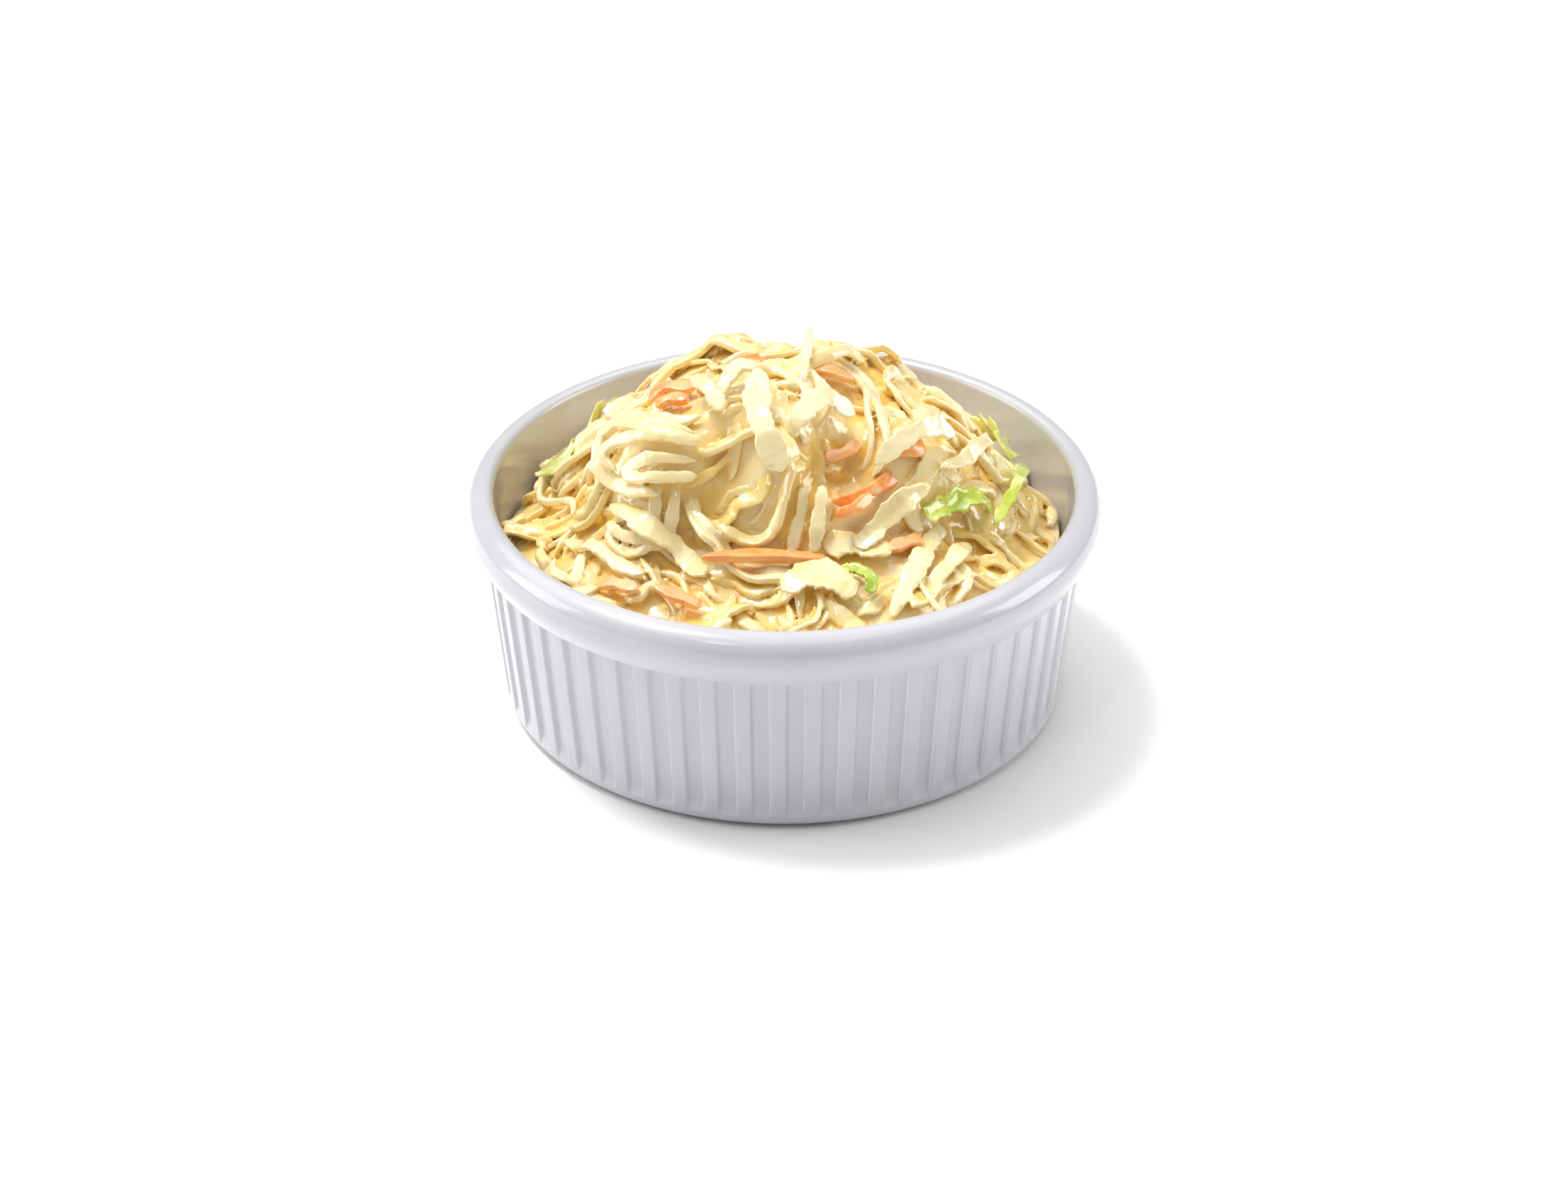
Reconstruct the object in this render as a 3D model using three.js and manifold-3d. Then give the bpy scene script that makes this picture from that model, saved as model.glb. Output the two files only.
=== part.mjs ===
// Coleslaw heaped in a round fluted porcelain dish. Lengths are in millimetres and +Z is up.
// The origin is the centre of the dish's foot, on the surface that the dish stands on; -Y is its front.
import * as THREE from "three";
import { mergeVertices } from "three/addons/utils/BufferGeometryUtils.js";
import Module from "manifold-3d";

const wasm = await Module();
wasm.setup();

const TURN = 2 * Math.PI;
const GOLDEN_ANGLE = Math.PI * (3 - Math.sqrt(5));

// The dish, as the radii and heights of its section.
const RIM_RADIUS = 65; // the widest part of the rim band
const DISH_HEIGHT = 46.5;
const RIM_ROUND = 4.4; // rounding of the rim's outer top edge
const MOUTH_RADIUS = 59; // where the rim turns down into the hollow
const MOUTH_ROUND = 1.5;
const LEDGE_Z = 36; // underside of the rim band
const LEDGE_RADIUS = 62.4;
const RIM_BELLY_OUT = 0.72; // the share of the way out from the ledge to the rim's widest part,
const RIM_BELLY_UP = 0.4; // reached at this share of the way up
const WALL_TOP_RADIUS = 61.4; // the ribs' outer face under the ledge
const WALL_FOOT_RADIUS = 58.3;
const FOOT_ROUND = 3;
const FOOT_RING_INNER = 50;
const FOOT_RECESS = 1.2; // depth of the hollow under the base
const FLOOR_Z = 5;
const HOLLOW_FOOT_RADIUS = 53.6; // inside radius where the wall starts to slope to the floor
const FLOOR_SLOPE = 7; // how far up and in the wall slopes to the floor

// The upright ribs round the wall: the flutes between them are cut out of it.
const RIB_COUNT = 56;
const RIB_TURN = THREE.MathUtils.degToRad(2.1); // the angle of the first flute from the front
const FLUTE_WIDTH = 3.2;
const FLUTE_DEPTH = 0.8;
const FLUTE_FOOT_Z = 2.6; // where a flute runs out above the foot
const FLUTE_FADE = 3; // the height over which it runs out

// The heap: a bed that falls away to the wall, lower at the back, with a mound on it.
const CLEARANCE = 0.42; // between the salad and the dish
const BED_RADIUS = 57;
const BED_WALL_DROP = 8; // below the rim, at the sides
const BED_BACK_DROP = 5; // further down at the back, and up at the front
const BED_RISE = 3.5; // above the rim, under the mound
const MOUND_X = -1;
const MOUND_Y = 1;
const MOUND_HALF_X = 42;
const MOUND_HALF_Y = 34;
const MOUND_HEIGHT = 21.5;
const MOUND_POWER = 2.3;
const MOUND_SHOULDER = 0.75;
const MOUND_FOOT = 0.04; // how softly its foot runs into the bed

// The core that the shreds are fused to.
const CORE_SINK = 2.2; // how far the core lies under the heap's surface
const CORE_RINGS = 9;
const CORE_SPOKES = 34;
const CORE_LUMP = 0.7; // height of its lumps

// The shreds of cabbage, carrot and leaf.
const SHRED_STEPS = 5;
const SHRED_END_NARROWING = 0.75;
const SHRED_END_THINNING = 0.4;
const LIFT_START = 0.35; // the share of its length after which a shred lifts off
const SHRED_SINK = 0.35; // how deep a shred lies in what is under it
const SHRED_BEND_RADIUS = 14; // the tightest bend that a shred takes into a hollow
const LOOSE_SHREDS = 56;
const PLACE_STRIDE = 23; // the order in which their places are filled
const HEADING_TRIES = 12; // directions tried for a shred that would cross the dish
const GRID_STEP = 1;
const GRID_HALF = 64;
const SEED = 20261;

// Shreds that stand out in the heap: where each starts, its heading in degrees (0 is to the right and
// 90 to the back), its length, width and thickness, how far it turns along its length in degrees, and
// how far its far end lifts.
const MARKED_SHREDS = [
  [-34.5, 4.6, -75, 30, 3.4, 1.6, 60, 0], // over the left shoulder
  [-15.8, -19.2, 157, 42, 2.6, 1.8, 200, 0], // turns back on itself at the left
  [-14.1, -21.3, 160, 26, 2.2, 1.6, 150, 0], // a smaller turn inside it
  [-4.4, -11, -95, 19, 5.2, 1.4, 45, 0], // leaf down the middle
  [-12.5, -15.4, 65, 11, 3.2, 1.4, -90, 0], // its other arm
  [16.8, -22.5, 50, 21, 4.2, 1.6, -5, 0], // up the right of the middle
  [27.6, -18.6, 50, 30, 3.2, 1.5, 25, 0],
  [-44, -20.9, -50, 25, 3, 1.4, 14, 0], // along the front at the left
  [28.3, -29.2, -105, 21, 3.4, 1.5, -8, 0], // two side by side, down to the front at the right
  [33.6, -30.4, -112, 20, 3.2, 1.5, -6, 0],
  [26.3, -25.5, 45, 17, 4, 1.4, -45, 0], // green leaf at the right
  [41, -20.2, 68, 30, 2.8, 1.4, 14, 0],
  [-50, 1.3, 64, 22, 3.2, 1.4, 14, 0], // pale leaf by the left wall
  [9.1, -28.2, 8, 18, 3, 2, 36, 0], // carrot in the middle
  [-12.7, -2.9, 25, 11, 4, 1.8, 0, 0], // carrot near the top
  [-15.6, -38.4, 3, 24, 2.7, 2.2, 5, 0], // carrot along the front
  [10.6, -39.2, -10, 10, 2.2, 1.4, -75, 0], // small green curl
  [3.7, -10.9, 82, 17, 2, 1.4, 6, 7.8], // the one that stands up at the top
];

// A seeded draw of numbers from 0 to 1.
function seededDraw(seed) {
  let state = seed;
  return () => {
    state = (state + 0x6d2b79f5) | 0;
    let t = Math.imul(state ^ (state >>> 15), 1 | state);
    t = (t + Math.imul(t ^ (t >>> 7), 61 | t)) ^ t;
    return ((t ^ (t >>> 14)) >>> 0) / 4294967296;
  };
}

const draw = seededDraw(SEED);
const between = (low, high) => low + (high - low) * draw();

// Points on a round corner of a section, from one angle to another in degrees.
function corner(radius, centreR, centreZ, from, to, steps) {
  return Array.from({ length: steps + 1 }, (_, i) => {
    const angle = THREE.MathUtils.degToRad(from + ((to - from) * i) / steps);
    return new THREE.Vector2(centreR + radius * Math.cos(angle), centreZ + radius * Math.sin(angle));
  });
}

// A closed geometry as a solid, with its seams merged and its flat triangles dropped.
function solid(geometry) {
  geometry.deleteAttribute("normal");
  geometry.deleteAttribute("uv");
  const merged = mergeVertices(geometry, 1e-4);
  const index = merged.index.array;
  const kept = [];
  for (let i = 0; i < index.length; i += 3) {
    const [a, b, c] = [index[i], index[i + 1], index[i + 2]];
    if (a !== b && b !== c && a !== c) kept.push(a, b, c);
  }
  return new wasm.Manifold(
    new wasm.Mesh({
      numProp: 3,
      vertProperties: merged.attributes.position.array,
      triVerts: new Uint32Array(kept),
    }),
  );
}

// A solid back as a geometry, with flat shading.
function geometryOf(body) {
  const mesh = body.getMesh();
  const geometry = new THREE.BufferGeometry();
  geometry.setAttribute("position", new THREE.BufferAttribute(mesh.vertProperties, 3));
  geometry.setIndex(new THREE.BufferAttribute(mesh.triVerts, 1));
  const faceted = geometry.toNonIndexed();
  faceted.computeVertexNormals();
  return faceted;
}

// The section of the dish, from the middle of its underside, up the outside, over the rim and down inside.
function dishSection() {
  const rimCentreR = RIM_RADIUS - RIM_ROUND;
  const rimCentreZ = DISH_HEIGHT - RIM_ROUND;
  return [
    new THREE.Vector2(0, FOOT_RECESS),
    new THREE.Vector2(FOOT_RING_INNER - FOOT_RECESS, FOOT_RECESS),
    new THREE.Vector2(FOOT_RING_INNER, 0),
    ...corner(FOOT_ROUND, WALL_FOOT_RADIUS - FOOT_ROUND, FOOT_ROUND, -90, 0, 1),
    new THREE.Vector2(WALL_TOP_RADIUS, LEDGE_Z),
    new THREE.Vector2(LEDGE_RADIUS, LEDGE_Z),
    new THREE.Vector2(
      THREE.MathUtils.lerp(LEDGE_RADIUS, RIM_RADIUS, RIM_BELLY_OUT),
      THREE.MathUtils.lerp(LEDGE_Z, rimCentreZ, RIM_BELLY_UP),
    ),
    ...corner(RIM_ROUND, rimCentreR, rimCentreZ, 0, 90, 3),
    ...corner(MOUTH_ROUND, MOUTH_RADIUS + MOUTH_ROUND, DISH_HEIGHT - MOUTH_ROUND, 90, 180, 1),
    new THREE.Vector2(HOLLOW_FOOT_RADIUS, FLOOR_Z + FLOOR_SLOPE),
    new THREE.Vector2(HOLLOW_FOOT_RADIUS - FLOOR_SLOPE, FLOOR_Z),
    new THREE.Vector2(0, FLOOR_Z),
  ];
}

// One flute's cutter: its side outline, given a width and turned to its place round the wall.
function fluteCutter(angle) {
  const wallAt = (z) =>
    THREE.MathUtils.mapLinear(z, FOOT_ROUND, LEDGE_Z, WALL_FOOT_RADIUS, WALL_TOP_RADIUS);
  const outline = new THREE.Shape([
    new THREE.Vector2(wallAt(LEDGE_Z) - FLUTE_DEPTH, LEDGE_Z),
    new THREE.Vector2(wallAt(FLUTE_FOOT_Z + FLUTE_FADE) - FLUTE_DEPTH, FLUTE_FOOT_Z + FLUTE_FADE),
    new THREE.Vector2(wallAt(FLUTE_FOOT_Z) + 0.1, FLUTE_FOOT_Z),
    new THREE.Vector2(RIM_RADIUS, FLUTE_FOOT_Z),
    new THREE.Vector2(RIM_RADIUS, LEDGE_Z),
  ]);
  const cutter = new THREE.ExtrudeGeometry(outline, { depth: FLUTE_WIDTH, bevelEnabled: false });
  cutter.translate(0, 0, -FLUTE_WIDTH / 2);
  cutter.rotateX(Math.PI / 2);
  cutter.rotateZ(angle);
  return solid(cutter);
}

// The dish: its section turned into a ring of flat ribs, with a flute cut at each corner between two ribs.
function makeDish() {
  const turned = new THREE.LatheGeometry(dishSection(), RIB_COUNT, RIB_TURN);
  turned.rotateX(Math.PI / 2);
  const cutters = Array.from({ length: RIB_COUNT }, (_, i) =>
    fluteCutter(RIB_TURN + (i * TURN) / RIB_COUNT),
  );
  return solid(turned).subtract(wasm.Manifold.union(cutters));
}

// The dish's inside radius at a height.
function hollowRadius(z) {
  const wallStart = FLOOR_Z + FLOOR_SLOPE;
  if (z < wallStart) return HOLLOW_FOOT_RADIUS - (wallStart - z);
  const share = Math.min(1, (z - wallStart) / (DISH_HEIGHT - MOUTH_ROUND - wallStart));
  return THREE.MathUtils.lerp(HOLLOW_FOOT_RADIUS, MOUTH_RADIUS, share);
}

// The height of the heap's surface over a point of the dish.
function heapTop(x, y) {
  const rho = Math.min(Math.hypot(x, y), BED_RADIUS);
  const wallDrop = BED_WALL_DROP + BED_BACK_DROP * THREE.MathUtils.clamp(y / BED_RADIUS, -1, 1);
  const bed = BED_RISE - (wallDrop + BED_RISE) * (rho / BED_RADIUS) ** 3;
  const across = Math.abs((x - MOUND_X) / MOUND_HALF_X) ** MOUND_POWER;
  const along = Math.abs((y - MOUND_Y) / MOUND_HALF_Y) ** MOUND_POWER;
  const inward = 1 - across - along;
  const softly = (inward + Math.hypot(inward, 2 * MOUND_FOOT)) / 2;
  const mound = MOUND_HEIGHT * softly ** MOUND_SHOULDER;
  return DISH_HEIGHT + bed + mound;
}

// The heap's outward direction at a point.
function heapNormal(x, y) {
  const e = 1.5;
  return new THREE.Vector3(
    heapTop(x - e, y) - heapTop(x + e, y),
    heapTop(x, y - e) - heapTop(x, y + e),
    2 * e,
  ).normalize();
}

// The point at a height over the heap's surface, measured straight out from it.
function overHeap(x, y, height) {
  return heapNormal(x, y).multiplyScalar(height).add(new THREE.Vector3(x, y, heapTop(x, y)));
}

// The height of the core over the heap's surface: below it, with lumps made of two crossing waves.
function coreHeight(x, y) {
  const lump = Math.sin(x / 2.9 + 1.3 * Math.sin(y / 4.1)) + Math.sin(y / 3.3 + 1.1 * Math.sin(x / 3.7));
  return CORE_LUMP * lump - CORE_SINK;
}

// The core: rings of points over the heap and down the wall to the floor, closed at the two poles.
function makeCore() {
  const rings = [];
  for (let i = 1; i <= CORE_RINGS; i++) {
    const rho = ((hollowRadius(DISH_HEIGHT - BED_WALL_DROP) - CLEARANCE) * i) / CORE_RINGS;
    rings.push((angle) => {
      const [x, y] = [rho * Math.cos(angle), rho * Math.sin(angle)];
      if (i === CORE_RINGS) return [x, y, heapTop(x, y) - CORE_SINK];
      return overHeap(x, y, coreHeight(x, y)).toArray();
    });
  }
  const lowest = FLOOR_Z + CLEARANCE;
  for (const z of [FLOOR_Z + FLOOR_SLOPE, lowest]) {
    const rho = hollowRadius(Math.max(z - CLEARANCE, FLOOR_Z)) - CLEARANCE;
    rings.push((angle) => [rho * Math.cos(angle), rho * Math.sin(angle), z]);
  }
  const points = [[0, 0, heapTop(0, 0) - CORE_SINK]];
  for (const ring of rings)
    for (let k = 0; k < CORE_SPOKES; k++) points.push(ring((k * TURN) / CORE_SPOKES));
  points.push([0, 0, lowest]);
  const at = (ring, k) => 1 + ring * CORE_SPOKES + (k % CORE_SPOKES);
  const faces = [];
  for (let k = 0; k < CORE_SPOKES; k++) {
    faces.push([0, at(0, k), at(0, k + 1)]);
    for (let r = 0; r + 1 < rings.length; r++) {
      faces.push([at(r, k), at(r + 1, k), at(r + 1, k + 1)]);
      faces.push([at(r, k), at(r + 1, k + 1), at(r, k + 1)]);
    }
    faces.push([at(rings.length - 1, k), points.length - 1, at(rings.length - 1, k + 1)]);
  }
  return solidFrom(points, faces);
}

// A solid from points and triangles.
function solidFrom(points, faces) {
  const geometry = new THREE.BufferGeometry();
  geometry.setAttribute("position", new THREE.Float32BufferAttribute(points.flat(), 3));
  geometry.setIndex(faces.flat());
  return solid(geometry);
}

// The height of what lies in the dish so far over the heap's surface, on a square grid.
const gridSide = 2 * Math.round(GRID_HALF / GRID_STEP) + 1;
const cell = (v) => THREE.MathUtils.clamp(Math.round((v + GRID_HALF) / GRID_STEP), 0, gridSide - 1);
const pile = Float32Array.from({ length: gridSide * gridSide }, (_, i) =>
  coreHeight((i % gridSide) * GRID_STEP - GRID_HALF, Math.floor(i / gridSide) * GRID_STEP - GRID_HALF),
);
const pileAt = (x, y) => pile[cell(y) * gridSide + cell(x)];

// A shred's way over the heap, seen from above: steps of even length over the slope, turning as it goes.
function shredPath({ x, y, heading, length, turn }) {
  const step = length / SHRED_STEPS;
  const path = [[x, y]];
  for (let i = 0; i < SHRED_STEPS; i++) {
    const [px, py] = path[i];
    const angle = THREE.MathUtils.degToRad(heading + (turn * (i + 0.5)) / SHRED_STEPS);
    const [dx, dy] = [Math.cos(angle), Math.sin(angle)];
    const slope = heapTop(px + dx, py + dy) - heapTop(px, py);
    const run = step / Math.hypot(1, slope);
    path.push([px + run * dx, py + run * dy]);
  }
  return path;
}

// The heights of a shred along its way: it lies on the bumps and bridges the hollows between them, bending
// no tighter there than it can. A parabola over each point and then one under each point close the hollows.
function bridged(path, under) {
  const fall = (i, j) =>
    ((path[i][0] - path[j][0]) ** 2 + (path[i][1] - path[j][1]) ** 2) / (2 * SHRED_BEND_RADIUS);
  const over = under.map((_, i) => Math.max(...under.map((height, j) => height - fall(i, j))));
  return over.map((_, i) => Math.min(...over.map((height, j) => height + fall(i, j))));
}

// Lays a shred on the pile, raises the pile by it, and gives its middle line, with the far end lifted.
function layDown(path, { width, thickness, lift }) {
  const last = path.length - 1;
  const sides = path.map((_, i) => {
    const [ax, ay] = path[Math.max(i - 1, 0)];
    const [bx, by] = path[Math.min(i + 1, last)];
    return new THREE.Vector2(ay - by, bx - ax).setLength(width / 3);
  });
  const under = path.map(([x, y], i) => {
    const { x: sx, y: sy } = sides[i];
    return Math.max(pileAt(x, y), pileAt(x + sx, y + sy), pileAt(x - sx, y - sy));
  });
  const heights = bridged(path, under).map((height) => height - SHRED_SINK + thickness / 2);
  for (let i = 0; i < last; i++)
    for (let t = 0; t < 1; t += 0.2) {
      const x = THREE.MathUtils.lerp(path[i][0], path[i + 1][0], t);
      const y = THREE.MathUtils.lerp(path[i][1], path[i + 1][1], t);
      const top = THREE.MathUtils.lerp(heights[i], heights[i + 1], t) + thickness / 2;
      for (const s of [-1.2, -0.6, 0, 0.6, 1.2]) {
        const at = cell(y + s * sides[i].y) * gridSide + cell(x + s * sides[i].x);
        pile[at] = Math.max(pile[at], top);
      }
    }
  return path.map(([x, y], i) =>
    overHeap(x, y, heights[i] + lift * THREE.MathUtils.smoothstep(i / last, LIFT_START, 1)),
  );
}

// A shred as a solid strip of four sides along its laid way, narrower at its ends.
function shredSolid(way, { width, thickness, roll, twist }) {
  const points = [];
  way.forEach((p, i) => {
    const [before, after] = [way[Math.max(i - 1, 0)], way[Math.min(i + 1, SHRED_STEPS)]];
    const tangent = after.clone().sub(before).normalize();
    const side = new THREE.Vector3().crossVectors(heapNormal(p.x, p.y), tangent).normalize();
    const share = i / SHRED_STEPS;
    side.applyAxisAngle(tangent, THREE.MathUtils.degToRad(roll + twist * (share - 0.5)));
    const out = new THREE.Vector3().crossVectors(tangent, side);
    const endwards = (2 * share - 1) ** 4;
    const half = side.multiplyScalar((width / 2) * Math.sqrt(1 - SHRED_END_NARROWING * endwards));
    const deep = out.multiplyScalar((thickness / 2) * (1 - SHRED_END_THINNING * endwards));
    points.push(p.clone().add(half).add(deep), p.clone().sub(half).add(deep));
    points.push(p.clone().sub(half).sub(deep), p.clone().add(half).sub(deep));
  });
  const faces = [];
  const last = 4 * (way.length - 1);
  for (let i = 0; i < last; i += 4)
    for (let k = 0; k < 4; k++) {
      const [a, b] = [i + k, i + ((k + 1) % 4)];
      faces.push([a, b, b + 4], [a, b + 4, a + 4]);
    }
  faces.push([0, 2, 1], [0, 3, 2], [last, last + 1, last + 2], [last, last + 2, last + 3]);
  return solidFrom(points.map((p) => p.toArray()), faces);
}

// A loose shred of drawn size and heading. Their middles are spread evenly, as seeds are in a sunflower.
function looseShred(i) {
  const size = {
    length: between(17, 32),
    width: between(2.8, 4.8),
    thickness: between(1.3, 1.9),
    turn: between(-110, 110),
    lift: draw() < 0.25 ? between(1.5, 4) : 0,
    roll: between(-35, 35),
    twist: between(-60, 60),
  };
  const seat = (i * PLACE_STRIDE) % LOOSE_SHREDS;
  const rho = (BED_RADIUS - size.width) * Math.sqrt((seat + 0.5) / LOOSE_SHREDS);
  const angle = seat * GOLDEN_ANGLE;
  const middle = new THREE.Vector2(rho * Math.cos(angle), rho * Math.sin(angle));
  for (let left = HEADING_TRIES; left > 0; left--) {
    const heading = between(0, 360);
    const back = THREE.MathUtils.degToRad(heading + size.turn / 4);
    const half = (0.4 * size.length * left) / HEADING_TRIES;
    const x = middle.x - half * Math.cos(back);
    const y = middle.y - half * Math.sin(back);
    const path = shredPath({ ...size, x, y, heading });
    if (path.every(([px, py]) => Math.hypot(px, py) < BED_RADIUS - size.width / 2)) return { path, size };
  }
  return null;
}

// The coleslaw: the core with the shreds laid on it one after another, all fused, and kept clear of the dish.
function makeColeslaw() {
  const bodies = [makeCore()];
  const lay = (path, size) => bodies.push(shredSolid(layDown(path, size), size));
  for (let i = 0; i < LOOSE_SHREDS; i++) {
    const found = looseShred(i);
    if (found) lay(found.path, found.size);
  }
  for (const [x, y, heading, length, width, thickness, turn, lift] of MARKED_SHREDS) {
    const size = { x, y, heading, length, width, thickness, turn, lift, roll: 0, twist: 0 };
    lay(shredPath(size), size);
  }
  const fused = wasm.Manifold.union(bodies);
  const whole = fused.decompose().reduce((a, b) => (a.volume() > b.volume() ? a : b));
  return whole.intersect(keepInside());
}

// The space that the coleslaw may fill: the dish's hollow less the clearance, and a drum over it.
function keepInside() {
  const heights = [FLOOR_Z, FLOOR_Z + FLOOR_SLOPE, DISH_HEIGHT - MOUTH_ROUND];
  const side = heights.map(
    (z) => new THREE.Vector2(hollowRadius(z) - CLEARANCE, z + (z === FLOOR_Z ? CLEARANCE : 0)),
  );
  const top = 2 * DISH_HEIGHT;
  const drum = [
    new THREE.Vector2(0, FLOOR_Z + CLEARANCE),
    ...side,
    new THREE.Vector2(MOUTH_RADIUS - CLEARANCE, top),
    new THREE.Vector2(0, top),
  ];
  const turned = new THREE.LatheGeometry(drum, RIB_COUNT);
  turned.rotateX(Math.PI / 2);
  return solid(turned);
}

// A named mesh of one sub-part.
function part(name, body, colour, roughness) {
  const material = new THREE.MeshStandardMaterial({ color: colour, roughness, metalness: 0 });
  const mesh = new THREE.Mesh(geometryOf(body), material);
  mesh.name = name;
  return mesh;
}

const coleslawInDish = new THREE.Group();
coleslawInDish.add(part("dish", makeDish(), 0xe6e7ec, 0.18));
coleslawInDish.add(part("coleslaw", makeColeslaw(), 0xf3e6b8, 0.35));

export default coleslawInDish;
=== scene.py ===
"""Coleslaw heaped in a round fluted white dish: its looks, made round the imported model.

Lengths are in millimetres until a mesh is made, +Z is up and -Y is the front. The salad is laid shred by
shred: each one is a strip carried along a way over the heap, and it rests on what was laid before it.
"""

import bpy
import numpy as np
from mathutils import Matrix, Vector


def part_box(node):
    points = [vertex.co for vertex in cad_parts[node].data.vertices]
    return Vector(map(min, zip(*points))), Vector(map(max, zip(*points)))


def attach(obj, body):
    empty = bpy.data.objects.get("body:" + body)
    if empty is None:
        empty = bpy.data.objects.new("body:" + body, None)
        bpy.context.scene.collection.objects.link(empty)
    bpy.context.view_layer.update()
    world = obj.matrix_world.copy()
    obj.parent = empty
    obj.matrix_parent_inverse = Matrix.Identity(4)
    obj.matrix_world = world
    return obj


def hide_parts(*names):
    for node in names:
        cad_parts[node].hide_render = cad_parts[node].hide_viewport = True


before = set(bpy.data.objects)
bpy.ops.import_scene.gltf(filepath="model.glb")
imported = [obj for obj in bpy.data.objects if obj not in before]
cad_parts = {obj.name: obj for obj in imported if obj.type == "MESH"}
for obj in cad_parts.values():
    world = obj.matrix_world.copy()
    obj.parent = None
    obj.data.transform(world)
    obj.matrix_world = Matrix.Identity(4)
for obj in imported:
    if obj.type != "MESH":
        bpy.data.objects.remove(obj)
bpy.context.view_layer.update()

MM = 0.001
TURN = 2 * np.pi
draw = np.random.default_rng(20261)

# The dish's sizes: its outside comes from the frame, and the rest are the real dish's.
DISH_HIGH = np.array(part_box("dish")[1]) / MM
RIM_RADIUS = DISH_HIGH[0]
DISH_HEIGHT = DISH_HIGH[2]
RIM_ROUND = 4.4
MOUTH_RADIUS = 59
MOUTH_ROUND = 1.5
BAND_POWER = 0.9  # of the sine that the rim's band bulges by
LEDGE_Z = 36
LEDGE_RADIUS = 62.4
LEDGE_ROUND = 0.5
LEDGE_FILLET = 0.7
WALL_TOP_RADIUS = 61.4
WALL_FOOT_RADIUS = 58.3
FOOT_ROUND = 3
FOOT_RING_INNER = 50
FOOT_RECESS = 1.2
FLOOR_Z = 5
HOLLOW_FOOT_RADIUS = 53.6
FLOOR_ROUND = 7

# Its ribs and the flutes between them.
RIB_COUNT = 56
RIB_SAMPLES = 24  # points round the wall for each rib
FLUTE_SHARE = 0.5  # of a rib and a flute together
FLUTE_EDGE = 0.04  # half the width of a flute's edge, as the same share
FLUTE_DEPTH = 0.8
FLUTE_FOOT_Z = 2.6
FLUTE_FADE = 3
FLUTE_TOP_Z = LEDGE_Z - 0.05
FLUTE_REACH = 2.5  # how far inside the wall's line a point still counts as on its outside
# painted highlight: the ribs' edges are paler in the colour, palest at this share of a flute's depth
HIGHLIGHT_DEPTH = 0.3  # the share of a flute's depth where its edge is palest
RIB_TURN = 2.1  # degrees that the ribs are turned round the wall

# The heap's surface: a bed that falls away to the wall, lower at the back, with a mound on it.
BED_RADIUS = 57
BED_WALL_DROP = 8
BED_BACK_DROP = 5
BED_RISE = 3.5
MOUND_X, MOUND_Y = -1, 1
MOUND_HALF_X, MOUND_HALF_Y = 42, 34
MOUND_HEIGHT = 21.5
MOUND_POWER = 2.3
MOUND_SHOULDER = 0.75
MOUND_FOOT = 0.04

# Clumps of shreds that stand out of the heap, and pockets (negative) between them: each is its place x, y,
# its half widths along x and y, and its height.
CLUMPS = [
    (-5, -17, 11, 9, 5.5),
    (-5, -35, 11, 4, -3.0),
    (-26, -17, 8, 8, 3.2),
    (-15, -12, 3, 9, -3.0),
    (25, -14, 8, 6, 4.0),
    (14, -26, 6, 4.5, -3.5),
    (12, -10, 3.5, 8, -2.5),
    (2, -1, 9, 5, 3.0),
    (-37, -31, 10, 6, 2.5),
    (9, -44, 9, 5, 2.0),
    (32, -36, 8, 6, 2.5),
    (-12, 16, 8, 8, 2.0),
    (16, 14, 8, 8, 1.5),
    (8, 34, 12, 6, -1.4),
    (42, -8, 6, 9, 2.0),
]

STIFF = {"stiff": True}

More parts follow.
